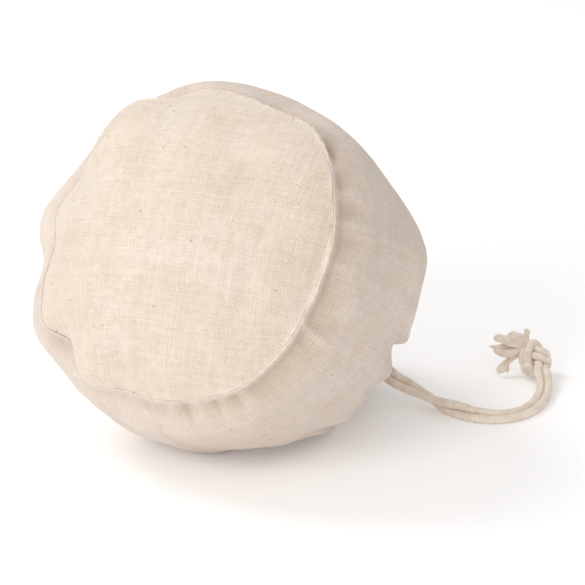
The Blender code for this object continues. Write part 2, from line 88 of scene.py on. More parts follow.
# ------------------------------------------------------------------ node maths for materials
class Shade:
    """A material being written: wires plain numbers and sockets into Math nodes."""

    def __init__(self, name, **principled):
        self.mat = bpy.data.materials.new(name)
        self.mat.use_nodes = True
        self.tree = self.mat.node_tree
        self.bsdf = self.tree.nodes["Principled BSDF"]
        for k, v in principled.items():
            self.bsdf.inputs[k.replace("_", " ")].default_value = v

    def node(self, kind, **settings):
        n = self.tree.nodes.new(kind)
        for k, v in settings.items():
            setattr(n, k, v)
        return n

    def put(self, socket, value):
        if isinstance(value, bpy.types.NodeSocket):
            self.tree.links.new(value, socket)
        elif value is not None:
            socket.default_value = value

    def m(self, op, a, b=None, c=None):
        n = self.node("ShaderNodeMath", operation=op)
        for s, v in zip(n.inputs, (a, b, c)):
            self.put(s, v)
        return n.outputs[0]

    def mix(self, f, a, b):
        n = self.node("ShaderNodeMix", data_type="RGBA")
        self.put(n.inputs[0], f)
        self.put(n.inputs[6], a if isinstance(a, bpy.types.NodeSocket) else (*a, 1.0))
        self.put(n.inputs[7], b if isinstance(b, bpy.types.NodeSocket) else (*b, 1.0))
        return n.outputs[2]

    def noise(self, vector, scale, detail=2.0, rough=0.5):
        n = self.node("ShaderNodeTexNoise")
        self.put(n.inputs["Vector"], vector)
        n.inputs["Scale"].default_value = scale
        n.inputs["Detail"].default_value = detail
        n.inputs["Roughness"].default_value = rough
        return n.outputs[0]

    def white(self, value):
        n = self.node("ShaderNodeTexWhiteNoise", noise_dimensions="1D")
        self.put(n.inputs["W"], value)
        return n.outputs["Value"]

    def xyz(self, x, y, z=0.0):
        n = self.node("ShaderNodeCombineXYZ")
        for s, v in zip(n.inputs, (x, y, z)):
            self.put(s, v)
        return n.outputs[0]

    def place(self):
        return self.node("ShaderNodeTexCoord").outputs["Object"]

    def uv(self, name="cloth"):
        n = self.node("ShaderNodeUVMap", uv_map=name)
        s = self.node("ShaderNodeSeparateXYZ")
        self.put(s.inputs[0], n.outputs[0])
        return s.outputs[0], s.outputs[1]

    def scaled(self, colour, by):
        n = self.node("ShaderNodeVectorMath", operation="SCALE")
        self.put(n.inputs[0], colour if isinstance(colour, bpy.types.NodeSocket) else tuple(colour))
        self.put(n.inputs["Scale"], by)
        return n.outputs[0]

    def ramp(self, value, lo, hi, out_lo=0.0, out_hi=1.0, smooth=True):
        n = self.node("ShaderNodeMapRange", interpolation_type="SMOOTHSTEP" if smooth else "LINEAR")
        for s, v in zip(n.inputs[:5], (value, lo, hi, out_lo, out_hi)):
            self.put(s, v)
        return n.outputs[0]

    def finish(self, colour, height=None, deep=0.0001, rough=None, strength=1.0):
        self.put(self.bsdf.inputs["Base Color"],
                 colour if isinstance(colour, bpy.types.NodeSocket) else (*colour, 1.0))
        if rough is not None:
            self.put(self.bsdf.inputs["Roughness"], rough)
        if height is not None:
            b = self.node("ShaderNodeBump")
            b.inputs["Strength"].default_value = strength
            b.inputs["Distance"].default_value = deep
            self.put(b.inputs["Height"], height)
            self.tree.links.new(b.outputs[0], self.bsdf.inputs["Normal"])
        return self.mat


def muslin(name, warp=0.52, weft=0.47, tone=(0.80, 0.70, 0.612), shift=0.0, open_weave=1.0, mottle=1.0):
    """Unbleached plain-weave cotton. The 'cloth' UV map is the flat pattern in millimetres."""
    k = Shade(name, Roughness=0.92, Sheen_Weight=0.25, Sheen_Roughness=0.55)
    k.bsdf.inputs["Specular IOR Level"].default_value = 0.18
    x, y = k.uv()
    flat = k.xyz(x, y, shift)
    drift = k.noise(flat, 0.09, 2.0)                       # threads wander a little
    drift2 = k.noise(k.xyz(y, x, 7.0 + shift), 0.08, 2.0)
    near1 = k.noise(k.xyz(x, k.m("MULTIPLY", y, 0.35), 3.0 + shift), 0.62, 2.0, 0.6)
    near2 = k.noise(k.xyz(k.m("MULTIPLY", x, 0.35), y, 9.0 + shift), 0.62, 2.0, 0.6)
    u = k.m("MULTIPLY_ADD", near1, 1.5, k.m("MULTIPLY_ADD", drift, 3.4, k.m("DIVIDE", x, warp)))
    v = k.m("MULTIPLY_ADD", near2, 1.5, k.m("MULTIPLY_ADD", drift2, 3.4, k.m("DIVIDE", y, weft)))
    i, j = k.m("FLOOR", u), k.m("FLOOR", v)
    su, sv = k.m("SINE", k.m("MULTIPLY", u, math.pi)), k.m("SINE", k.m("MULTIPLY", v, math.pi))
    w, f = k.m("ABSOLUTE", su), k.m("ABSOLUTE", sv)
    side = k.m("SIGN", k.m("MULTIPLY", su, sv))
    # uneven hand-spun yarn: each thread has its own thickness, and thick and thin places
    thick_w = k.m("ADD", k.m("MULTIPLY", k.white(i), 0.5),
                  k.m("MULTIPLY", k.noise(k.xyz(k.m("MULTIPLY", i, 3.7), k.m("MULTIPLY", v, 0.05)), 1.0, 2.0), 0.9))
    thick_f = k.m("ADD", k.m("MULTIPLY", k.white(k.m("ADD", j, 431.5)), 0.5),
                  k.m("MULTIPLY", k.noise(k.xyz(k.m("MULTIPLY", u, 0.05), k.m("MULTIPLY", j, 3.1), 5.0), 1.0, 2.0), 0.9))
    hw = k.m("MULTIPLY", k.m("POWER", w, k.ramp(thick_w, 0.2, 1.1, 0.95, 0.42)),
             k.m("MULTIPLY_ADD", k.m("MULTIPLY", side, f), 0.5, 0.5))
    hf = k.m("MULTIPLY", k.m("POWER", f, k.ramp(thick_f, 0.2, 1.1, 0.95, 0.42)),
             k.m("MULTIPLY_ADD", k.m("MULTIPLY", side, w), -0.5, 0.5))
    top = k.m("MAXIMUM", hw, hf)
    over = k.m("GREATER_THAN", hw, hf)
    # colour: yarn by yarn, darker in the gaps, with seed flecks and faint natural mottling
    yarn = k.m("ADD", k.m("MULTIPLY", over, thick_w), k.m("MULTIPLY", k.m("SUBTRACT", 1.0, over), thick_f))
    light = k.ramp(yarn, 0.1, 1.3, 0.885, 1.055, smooth=False)
    loose = k.noise(k.xyz(x, y, shift + 23.0), 0.55, 3.0, 0.65)
    gap = k.m("MULTIPLY", k.ramp(top, 0.12, 0.62, 1.0, 0.0), k.ramp(loose, 0.36, 0.66, 0.22, 1.15))
    gap = k.m("MULTIPLY", gap, open_weave)
    patch = k.noise(flat, 0.035, 3.0)
    cloud = k.noise(k.xyz(x, y, shift + 11.0), 0.11, 4.0, 0.6)
    body = k.mix(k.ramp(patch, 0.35, 0.70), tone, (tone[0] * 0.985, tone[1] * 0.960, tone[2] * 0.915))
    body = k.mix(k.m("MULTIPLY", k.ramp(cloud, 0.42, 0.72), mottle), body,
                 (tone[0] * 0.955, tone[1] * 0.915, tone[2] * 0.865))
    fleck = k.node("ShaderNodeTexVoronoi", feature="F1")
    k.put(fleck.inputs["Vector"], flat)
    fleck.inputs["Scale"].default_value = 0.30
    fleck.inputs["Randomness"].default_value = 1.0
    sep = k.node("ShaderNodeSeparateXYZ")
    k.put(sep.inputs[0], fleck.outputs["Color"])
    spot = k.ramp(fleck.outputs["Distance"], k.m("MULTIPLY_ADD", sep.outputs[0], 0.070, 0.012),
                  k.m("MULTIPLY_ADD", sep.outputs[0], 0.130, 0.035), 1.0, 0.0)
    spot = k.m("MULTIPLY", spot, k.m("GREATER_THAN", sep.outputs[1], 0.40))
    body = k.mix(k.m("MULTIPLY", spot, 0.55), body, (0.36, 0.26, 0.16))
    # painted highlight and painted shade: paler on ridges, a little darker and warmer down in folds and beside the
    # seams
    relief = k.node("ShaderNodeAttribute", attribute_name="relief").outputs["Fac"]
    body = k.mix(k.m("MULTIPLY", k.ramp(relief, -1.1, 0.0, 1.0, 0.0), 0.85), body,
                 (tone[0] * 0.80, tone[1] * 0.75, tone[2] * 0.67))
    body = k.mix(k.ramp(relief, 0.15, 0.80, 0.0, 0.80), body, (0.93, 0.83, 0.71))
    body = k.scaled(body, light)
    colour = k.mix(gap, body, (tone[0] * 0.66, tone[1] * 0.57, tone[2] * 0.48))
    fuzz = k.noise(flat, 7.0, 2.0, 0.6)
    height = k.m("MULTIPLY_ADD", fuzz, 0.25, top)
    return k.finish(colour, height, 0.00013)


def cotton_cord(name, tone=(0.92, 0.825, 0.725)):
    k = Shade(name, Roughness=0.9, Sheen_Weight=0.3, Sheen_Roughness=0.5)
    k.bsdf.inputs["Specular IOR Level"].default_value = 0.15
    p = k.place()
    fibre = k.noise(p, 5200.0, 3.0, 0.6)
    patch = k.noise(p, 420.0, 3.0)
    body = k.mix(k.ramp(patch, 0.35, 0.72), tone, (tone[0] * 0.90, tone[1] * 0.86, tone[2] * 0.80))
    tan = k.ramp(k.noise(p, 1300.0, 2.0, 0.7), 0.52, 0.74)
    body = k.mix(k.m("MULTIPLY", tan, 0.34), body, (0.66, 0.49, 0.35))
    colour = k.scaled(body, k.ramp(fibre, 0.25, 0.75, 0.90, 1.06))
    return k.finish(colour, fibre, 0.00010)


def sewing_thread(name, tone=(0.80, 0.72, 0.62)):
    k = Shade(name, Roughness=0.6, Sheen_Weight=0.2)
    w = k.node("ShaderNodeTexWave", wave_type="BANDS", bands_direction="DIAGONAL")
    k.put(w.inputs["Vector"], k.place())
    w.inputs["Scale"].default_value = 2600.0
    return k.finish(k.mix(w.outputs["Fac"], tone, tuple(c * 0.8 for c in tone)), w.outputs["Fac"], 0.00004)


def grown(name, dark, light, scale, rough=0.8, deep=0.0003, stretch=(1.0, 1.0, 1.0), flecks=None):
    """Dried plant matter: two tones broken up by noise, with grain along one direction."""
    k = Shade(name, Roughness=rough)
    mp = k.node("ShaderNodeMapping")
    k.put(mp.inputs["Vector"], k.place())
    mp.inputs["Scale"].default_value = stretch
    n1 = k.noise(mp.outputs[0], scale, 5.0, 0.6)
    n2 = k.noise(mp.outputs[0], scale * 5.0, 3.0, 0.6)
    colour = k.mix(k.ramp(n1, 0.35, 0.65), dark, light)
    if flecks:
        colour = k.mix(k.ramp(n2, 0.58, 0.66), colour, flecks)
    return k.finish(colour, k.m("ADD", n1, k.m("MULTIPLY", n2, 0.5)), deep,
                    k.ramp(n2, 0.3, 0.7, rough - 0.12, min(rough + 0.1, 1.0)))


MUSLIN_BASE = muslin("muslin_base_look", tone=(0.815, 0.712, 0.612), shift=0.0)
# the side panel's tone is set a little darker than the base's: painted shade for the wall turned from the light
MUSLIN_SIDE = muslin("muslin_side_look", tone=(0.785, 0.682, 0.605), shift=53.0, open_weave=0.75)
CORD = cotton_cord("cotton_cord_look")
THREAD = sewing_thread("sewing_thread_look")
FLOOR = Shade("studio_floor", Roughness=0.7, Emission_Color=(1.0, 1.0, 1.0, 1.0),
              Emission_Strength=0.11).finish((0.97, 0.97, 0.97))

floor = bpy.data.objects.new("floor", bpy.data.meshes.new("floor"))
floor.data.from_pydata([(-6, -4, 0), (6, -4, 0), (6, 9, 0), (-6, 9, 0)], [], [(0, 1, 2, 3)])
floor.data.materials.append(FLOOR)
scene.collection.objects.link(floor)


# ------------------------------------------------------------------ the bag's frame
PITCH, YAW = math.radians(36.6), math.radians(53.2)
SEAM_CENTRE = np.array([-11.05, -14.35, 56.5])
AXIS = np.array([math.cos(PITCH) * math.cos(YAW), math.cos(PITCH) * math.sin(YAW), -math.sin(PITCH)])
LEVEL = np.array([math.sin(YAW), -math.cos(YAW), 0.0])
CROSS = np.cross(AXIS, LEVEL)
TURN = np.stack([LEVEL, CROSS, AXIS], 1)


def bag_to_world(p):
    return np.asarray(p) @ TURN.T + SEAM_CENTRE


def smooth(lo, hi, x):
    t = np.clip((x - lo) / (hi - lo), 0.0, 1.0)
    return t * t * (3.0 - 2.0 * t)


def ring(values, th):
    """A smooth closed curve through values spaced evenly round the bag."""
    v = np.asarray(values)
    n = len(v)
    u = (th % (2 * np.pi)) / (2 * np.pi) * n
    i = np.floor(u).astype(int)
    f = u - i
    p0, p1, p2, p3 = v[(i - 1) % n], v[i % n], v[(i + 1) % n], v[(i + 2) % n]
    return 0.5 * (2 * p1 + (p2 - p0) * f + (2 * p0 - 5 * p1 + 4 * p2 - p3) * f * f
                  + (3 * p1 - p0 - 3 * p2 + p3) * f ** 3)


def turn_from(th, degrees):
    """Signed angle from a given direction round the bag, in degrees."""
    d = np.degrees(th) - degrees
    return (d + 180.0) % 360.0 - 180.0


def value_noise(x, y, seed):
    """Smooth repeatable noise on the plane, from a hashed lattice, about -1 to 1."""
    xi, yi = np.floor(x).astype(np.int64), np.floor(y).astype(np.int64)
    fx, fy = x - xi, y - yi
    fx, fy = fx * fx * (3 - 2 * fx), fy * fy * (3 - 2 * fy)

    def hashed(i, j):
        h = (i * 374761393 + j * 668265263 + seed * 974634777) & 0xFFFFFFFF
        h = ((h ^ (h >> 13)) * 1274126177) & 0xFFFFFFFF
        return ((h ^ (h >> 16)) & 0xFFFF) / 32767.5 - 1.0
    a, b = hashed(xi, yi), hashed(xi + 1, yi)
    c, d = hashed(xi, yi + 1), hashed(xi + 1, yi + 1)
    return (a * (1 - fx) + b * fx) * (1 - fy) + (c * (1 - fx) + d * fx) * fy


def wrapped_noise(th, s, around, along, seed):
    """The same noise, closed round the bag: 'around' cells in one turn."""
    u = (th / (2 * np.pi)) * around
    w = smooth(0.0, 1.0, th / (2 * np.pi))
    return value_noise(u, s / along, seed) * (1 - w) + value_noise(u - around, s / along, seed) * w


# The round base panel, stuffed, and the wall. Out-of-round tables, every 15, 30, 15 and
# 22.5 degrees: seam radius, seam height, wall just past the seam, wall at its middle.
SEAM_R, DOME, BELLY, BELLY_AT, FOOT, NECK = 41.0, 12.5, 46.8, 11.0, 66.0, 10.9
SEAM_OUT = (-0.4, -0.2, 0.2, 1.0, -0.3, -1.1, -2.1, 0.3, -4.1, 0.1, -0.5, -2.8,
            -0.5, -2.6, 0.0, 2.1, -1.5, -0.7, -1.7, -2.0, 0.9, 0.6, -0.2, -0.2)
SEAM_UP = (-0.7, 0.5, -0.5, -2.2, -4.8, -1.7, -0.3, -1.5, -0.3, 0.0, 0.5, 0.2)
SHOULDER = (0.0, 0.0, 0.0, 0.0, 0.0, -0.1, -0.2, -2.2, 0.5, 0.8, 2.0, 1.1,
            4.2, 2.3, 0.8, -0.1, 1.7, -0.2, -2.0, -4.6, -2.5, -0.8, -0.3, -0.1)
BELLY_OUT = (-0.8, 0.6, -0.2, -0.8, 0.2, 1.2, 0.3, 0.1, 0.0, -0.2, -0.5, -1.2, -3.8, -2.9, 0.7, 3.2)

# Single features pressed into or out of the cloth: where round the bag, how far from the
# seam, half-widths across and along in mm, height in mm. Negative distances are on the base.
DENTS = (
    (67, 4.4, 1.15, 3.9, -0.80), (61, 3.6, 0.95, 3.6, 0.55), (56, 3.6, 0.95, 3.3, -0.70),
    (52.5, 3.2, 0.8, 3.0, 0.50), (49, 3.4, 0.9, 3.2, -0.60), (45, 4.0, 1.0, 3.8, 0.35),
    (71.5, 4.4, 1.0, 3.8, 0.40), (76, 4.6, 1.2, 3.6, -0.35), (38, 5.0, 3.4, 4.0, -0.55), (30, 5.0, 3.6, 4.2, -0.45),
    (16.0, 4.2, 0.9, 4.6, 0.95), (20.5, 4.4, 2.6, 4.2, -0.70), (11.0, 5.0, 3.0, 4.8, -0.65),
    (3, 4.6, 3.0, 4.0, -0.40), (311, 3.0, 2.4, 2.8, -1.15), (305, 3.0, 1.4, 3.4, 0.55), (317, 3.4, 1.5, 3.8, 0.50),
    (323, 5.0, 1.8, 3.6, -0.70), (328, 5.2, 1.3, 3.8, 0.45), (333, 6.5, 1.8, 4.2, -0.70),
    (338.5, 5.0, 1.3, 4.0, 0.45), (344, 5.8, 2.0, 4.2, -0.55), (352, 4.4, 1.6, 4.0, 0.35),
    (298, 4.0, 2.2, 4.0, -0.50), (291, 3.6, 1.6, 3.8, 0.40), (282, 3.4, 2.4, 4.4, -0.55), (271, 3.6, 1.6, 4.2, 0.40),
    (262, 3.2, 2.2, 4.0, -0.45), (252, 3.6, 1.8, 4.2, 0.40), (242, 3.2, 2.4, 4.0, -0.50), (231, 3.8, 1.6, 4.0, 0.35),
    (222, 3.0, 2.2, 4.0, -0.50), (212, 3.6, 1.6, 4.4, 0.40), (202, 3.2, 2.4, 4.4, -0.60), (192, 3.6, 1.8, 4.2, 0.40),
    (182, 3.4, 2.0, 4.2, -0.50), (168, 3.2, 1.8, 4.0, 0.40), (157, 3.4, 2.2, 4.2, -0.45), (146, 3.4, 1.5, 4.0, 0.40),
    (104, 3.6, 2.0, 4.4, -0.45), (97, 3.0, 1.4, 3.8, 0.40), (90, 1.0, 1.2, 1.4, -0.60),
)


def gathers(th, a):
    """Soft gathers that start at the waist, sharpen into pleats at the neck and run through
    the casing. Unevenly spaced; every third one or so dies out on the shoulder."""
    phase = 21.0 * th + 1.3 * np.sin(2 * th + 0.6) + 0.9 * np.sin(3 * th + 2.1) + 0.5 * np.sin(5 * th + 4.0)
    fold = 1.0 - 2.0 * np.abs(np.sin(0.5 * phase)) ** (0.8 + 1.1 * smooth(64.0, 71.0, a))
    wide = 9.0 * th + 1.1 * np.sin(2 * th + 1.9) + 0.8 * np.sin(4 * th + 0.3)
    roll = np.cos(wide)
    some = 0.72 + 0.28 * np.cos(7 * th + 1.0)
    grow = smooth(40.0, 64.0, a)
    casing = smooth(66.0, 70.0, a)
    deep = (2.0 + 0.6 * smooth(50.0, 64.0, a)) * grow ** 1.3 * (1 - 0.20 * casing)
    broad = 1.5 * smooth(22.0, 50.0, a) * (1 - smooth(56.0, 66.0, a))
    return deep * some * (fold + 0.55 * smooth(54.0, 64.0, a)) + broad * roll


# Broad hollows where the biggest gathers run up over the shoulder: where, depth, half-width
HOLLOWS = ((3.0, 0.9, 4.2), (23.5, 1.7, 3.6), (44.0, 1.5, 4.0), (13.5, -1.6, 4.5), (32.0, 1.5, 4.0),
           (66.0, 1.3, 5.0), (97.0, 1.4, 6.0), (131.0, 1.6, 6.0), (168.0, 1.4, 5.5), (203.0, 1.7, 6.0),
           (238.0, 1.5, 5.5), (271.0, 1.6, 5.5), (305.0, 1.3, 5.0), (338.0, 0.9, 5.0))

# Larger places where the filling pushes out or the cloth hangs in: where round the bag,
# distance along the axis, half-widths across and along in mm, height in mm.
SWELLS = ((337, 38, 6.5, 9, 2.0), (323, 30, 7, 9, -0.8), (358, 45, 4, 8, -0.8), (8, 46, 6, 8, 1.0),
          (48, 43, 6, 8, -1.7), (60, 33, 8, 10, 0.3), (78, 24, 12, 9, -0.4), (349, 34, 5, 8, -0.4),
          (172, 7, 6, 6, 1.3), (124, 5.0, 6.0, 5.5, -1.0), (140, 5, 5, 5, 0.7), (219, 3, 3.6, 4, 1.0),
          (230, 3, 4, 4, -0.9), (152, 20, 12, 12, 1.0), (190, 36, 14, 12, 0.8), (250, 40, 14, 12, 0.7),
          (115, 40, 12, 12, -0.8), (215, 48, 10, 10, -0.9), (290, 44, 10, 10, 0.7))


def neck_profile(a):
    q = np.clip((a - BELLY_AT) / (FOOT - BELLY_AT), 0.0, 1.0)
    belly = SEAM_R + (BELLY - SEAM_R) * np.sin(0.5 * np.pi * np.clip(a / BELLY_AT, 0, 1))
    return np.where(a <= BELLY_AT, belly, NECK + (BELLY - NECK) * np.sqrt(np.maximum(1 - q ** 2.2, 0.0)))


def outward(p):
    """Unit normals of a grid of points, rows along the cloth and columns round it."""
    du = np.roll(p, -1, 1) - np.roll(p, 1, 1)
    dv = np.gradient(p, axis=0)
    n = np.cross(du, dv)
    return n / np.maximum(np.linalg.norm(n, axis=2, keepdims=True), 1e-9)


def on_table(w):
    """The ball flattens where it rests; nothing goes below the table."""
    z = w[..., 2]
    w[..., 2] = 0.5 * (z + np.sqrt(z * z + 0.6)) * 0.999
    return w


COLS = 360
th = np.linspace(0.0, 2.0 * np.pi, COLS, endpoint=False)[None, :]


def wall_at(r, a, th):
    """Place a point of the wall's outer face, in the bag's frame, before fine detail."""
    near = np.exp(-(a / 9.0) ** 2)
    high = np.exp(-(a / 14.0) ** 2)
    past = np.exp(-((a - 7.5) / 6.0) ** 2) * smooth(0.0, 5.0, a)
    waist = np.exp(-((a - 38.0) / 16.0) ** 2) * smooth(4.0, 18.0, a) * smooth(11.0, 30.0, r)
    rr = r + near * ring(SEAM_OUT, th) + past * ring(SHOULDER, th) + waist * ring(BELLY_OUT, th)
    aa = a + high * ring(SEAM_UP, th)
    return np.stack([rr * np.cos(th), rr * np.sin(th), aa + 0 * th], -1)


def base_at(r, a, th):
    edge_r, edge_a = smooth(14.0, SEAM_R, r), smooth(16.0, SEAM_R, r)
    rr = r + edge_r * ring(SEAM_OUT, th)
    aa = a + edge_a * ring(SEAM_UP, th)
    return np.stack([rr * np.cos(th), rr * np.sin(th), aa + 0 * th], -1)


def seam_relief(th, d):
    """The sewn edge: a groove at the stitches, the wall's rolled edge beside it, and small
    puckers at every stitch. d is the distance from the seam, negative on the base."""
    arc = SEAM_R * th
    stitch = np.cos(2 * np.pi * arc / 2.575)
    uneven = 0.75 + 0.35 * wrapped_noise(th, 0 * th, 23, 1.0, 5) + 0.2 * wrapped_noise(th, 0 * th, 61, 1.0, 6)
    # the stitches have let the base slip a little in two places, which shows as a dark slot
    slack = 0.8 * np.exp(-(turn_from(th, 314) / 4.0) ** 2) + 1.1 * np.exp(-(turn_from(th, 341) / 3.2) ** 2)
    groove = -(0.06 + 0.42 * slack) * np.exp(-((d + 0.12) / (0.22 + 0.12 * slack)) ** 2) * (0.7 + 0.3 * uneven)
    far_side = 1.0 - 0.6 * np.exp(-(turn_from(th, 150) / 52.0) ** 2)
    groove = groove * far_side
    roll = 0.98 * far_side * np.exp(-((d - 0.45) / np.where(d < 0.45, 0.78, 0.80)) ** 2) * uneven * (0.88 + 0.12 * stitch)
    beside = -0.55 * far_side * np.exp(-((d - 3.1) / 1.7) ** 2)
    lip = 0.0
    pucker = np.where(d > 0, np.exp(-np.abs(d) / 4.5), np.exp(-np.abs(d) / 3.0) * 0.55)
    rip = (0.20 * wrapped_noise(th, 0 * th, 88, 1.0, 11) + 0.14 * wrapped_noise(th, 0.2 * d, 150, 1.0, 12)
           + 0.05 * stitch)
    return groove + roll + beside + lip + pucker * rip * smooth(0.1, 1.2, np.abs(d))


def wrinkles(th, s, seed, fine=1.0):
    return fine * (0.30 * wrapped_noise(th, s, 17, 17.0, seed) + 0.16 * wrapped_noise(th, s, 37, 8.0, seed + 1)
                   + 0.07 * wrapped_noise(th, s, 81, 3.6, seed + 2))


def dents(th, d, r):
    h = 0.0 * th * d
    for where, far, wide, long_, high in DENTS:
        across = np.radians(turn_from(th, where)) * r
        boost = 1.5 if 40 < where < 76 else 1.25 if where < 40 or where > 300 else 1.0
        h = h + boost * high * np.exp(-(across / wide) ** 2 - ((d - far) / long_) ** 2)
    return h


# ------------------------------------------------------------------ meshes from grids
def grid_mesh(name, points, uv, mat, closed_start=None, drop=None, thickness=None, smooth_=True, relief=None):
    """points (rows, columns, 3) in mm, wrapped round; closed_start is a single centre point."""
    rows, cols = points.shape[:2]
    verts = points.reshape(-1, 3)
    faces, uvs = [], []
    for i in range(rows - 1):
        for j in range(cols):
            if drop is not None and drop[i, j]:
                continue
            k = (j + 1) % cols
            faces.append((i * cols + j, i * cols + k, (i + 1) * cols + k, (i + 1) * cols + j))
            uvs.append((uv(i, j), uv(i, j + 1), uv(i + 1, j + 1), uv(i + 1, j)))
    if closed_start is not None:
        verts = np.vstack([verts, np.asarray(closed_start)[None]])
        c = len(verts) - 1
        for j in range(cols):
            faces.append((c, (j + 1) % cols, j))
            uvs.append((uv(-1, j), uv(0, j + 1), uv(0, j)))
    mesh = bpy.data.meshes.new(name)
    mesh.from_pydata((verts * MM).tolist(), [], faces)
    # the relief values go on the points as an attribute; the muslin turns them into painted highlight and painted
    # shade
    if relief is not None:
        values = np.zeros(len(verts), np.float32)
        values[:relief.size] = relief.ravel()
        mesh.attributes.new("relief", "FLOAT", "POINT").data.foreach_set("value", values)
    layer = mesh.uv_layers.new(name="cloth")
    layer.data.foreach_set("uv", np.array([c for f in uvs for p in f for c in p], np.float32))
    mesh.materials.append(mat)
    mesh.polygons.foreach_set("use_smooth", [smooth_] * len(mesh.polygons))
    mesh.validate()
    o = bpy.data.objects.new(name, mesh)
    scene.collection.objects.link(o)
    bm = bmesh.new()
    bm.from_mesh(mesh)
    loose = [v for v in bm.verts if not v.link_faces]
    bmesh.ops.delete(bm, geom=loose, context="VERTS")
    bmesh.ops.recalc_face_normals(bm, faces=bm.faces)
    bm.to_mesh(mesh)
    bm.free()
    if thickness:
        m = o.modifiers.new("cloth", "SOLIDIFY")
        m.thickness, m.offset = thickness * MM, -1.0
        m.use_rim = True
        bpy.context.view_layer.objects.active = o
        o.select_set(True)
        bpy.ops.object.modifier_apply(modifier=m.name)
        o.select_set(False)
    return o


def tube_mesh(name, path, radius, mat, sides=12, relief=None, squeeze=None, round_end=(False, False), body=None):
    """A closed tube along path (n, 3) in mm. relief(i, angles) adds to the radius."""
    path = np.asarray(path, float)
    n = len(path)
    tan = np.gradient(path, axis=0)
    tan /= np.maximum(np.linalg.norm(tan, axis=1, keepdims=True), 1e-9)
    ref = np.array([0.0, 0.0, 1.0]) if abs(tan[0][2]) < 0.9 else np.array([1.0, 0.0, 0.0])
    u = np.cross(ref, tan[0])
    u /= np.linalg.norm(u)
    ang = np.linspace(0, 2 * np.pi, sides, endpoint=False)
    rings = []
    for i in range(n):
        u = u - tan[i] * (u @ tan[i])
        u /= np.linalg.norm(u)
        v = np.cross(tan[i], u)
        r = (radius[i] if np.ndim(radius) else radius) + (relief(i, ang) if relief else 0.0)
        sx, sy = squeeze[i] if squeeze is not None else (1.0, 1.0)
        rings.append(path[i] + (np.cos(ang) * r * sx)[:, None] * u + (np.sin(ang) * r * sy)[:, None] * v)
    verts = np.vstack(rings + [path[:1], path[-1:]])
    faces = []
    for i in range(n - 1):
        for j in range(sides):
            k = (j + 1) % sides
            faces.append((i * sides + j, i * sides + k, (i + 1) * sides + k, (i + 1) * sides + j))
    for j in range(sides):
        k = (j + 1) % sides
        faces.append((n * sides, k, j))
        faces.append((n * sides + 1, (n - 1) * sides + j, (n - 1) * sides + k))
    mesh = bpy.data.meshes.new(name)
    mesh.from_pydata((verts * MM).tolist(), [], faces)
    mesh.materials.append(mat)
    mesh.polygons.foreach_set("use_smooth", [True] * len(mesh.polygons))
    o = bpy.data.objects.new(name, mesh)
    scene.collection.objects.link(o)
    return o


def joined(name, parts):
    """Several closed meshes as one piece."""
    bm = bmesh.new()
    mats = []
    for p in parts:
        bm.from_mesh(p.data)
        for m in p.data.materials:
            if m not in mats:
                mats.append(m)
    mesh = bpy.data.meshes.new(name)
    bm.to_mesh(mesh)
    bm.free()
    for m in mats:
        mesh.materials.append(m)
    for p in parts:
        old = p.data
        bpy.data.objects.remove(p)
        bpy.data.meshes.remove(old)
    mesh.polygons.foreach_set("use_smooth", [True] * len(mesh.polygons))
    o = bpy.data.objects.new(name, mesh)
    scene.collection.objects.link(o)
    return o


# ------------------------------------------------------------------ drawstring
def spline_through(route, count):
    """Evenly spaced points on a Catmull-Rom curve through the route."""
    p = np.asarray(route, float)
    p = np.vstack([2 * p[0] - p[1], p, 2 * p[-1] - p[-2]])
    fine = []
    for i in range(1, len(p) - 2):
        p0, p1, p2, p3 = p[i - 1:i + 3]
        for j in range(24):
            t = j / 24.0
            fine.append(0.5 * (2 * p1 + (p2 - p0) * t + (2 * p0 - 5 * p1 + 4 * p2 - p3) * t * t
                               + (3 * p1 - p0 - 3 * p2 + p3) * t ** 3))
    fine.append(p[-2])
    fine = np.array(fine)
    run = np.r_[0.0, np.cumsum(np.linalg.norm(np.diff(fine, axis=0), axis=1))]
    s = np.linspace(0.0, run[-1], count)
    return np.stack([np.interp(s, run, fine[:, c]) for c in range(3)], 1)


CORD_R, STRAND, EXIT_SIDE = 1.1, 1.25, 2.0
exit_r = math.sqrt((NECK + 0.3) ** 2 - EXIT_SIDE ** 2)
exit_point = bag_to_world([0, 0, 75.0]) + LEVEL * exit_r + CROSS * EXIT_SIDE
stub = 5.47
ROUTE = [exit_point - LEVEL * stub, exit_point - LEVEL * stub * 0.5, exit_point,
         exit_point + LEVEL * 2.6 + np.array([0, 0, -0.25])] + [np.array(p) for p in (
             (40.8, 19.5, 6.5), (44.9, 17.2, 4.9), (49.1, 14.6, 3.5), (53.1, 11.5, 2.4), (57.1, 8.6, 1.75),
             (61.2, 6.3, 1.4), (66.2, 5.3, 1.35), (71.4, 6.4, 1.35), (75.8, 10.1, 1.35), (79.1, 16.2, 1.35),
             (80.6, 22.5, 1.7), (80.8, 27.2, 2.8), (80.4, 29.9, 3.7))]
LEAVE = -90.0 + math.degrees(PITCH)
TWIST = ((0.0, LEAVE), (0.14, LEAVE), (0.20, -46.0), (0.27, -28.0), (0.35, 22.0), (0.44, 84.0),
         (0.52, 140.0), (0.62, 165.0), (0.80, 172.0), (0.92, 180.0), (1.0, 180.0))


def twist_at(f):
    for (f0, t0), (f1, t1) in zip(TWIST, TWIST[1:]):
        if f <= f1:
            k = float(smooth(f0, f1, f))
            return math.radians(t0 + (t1 - t0) * (0.5 * k + 0.5 * (f - f0) / (f1 - f0)))
    return math.radians(TWIST[-1][1])


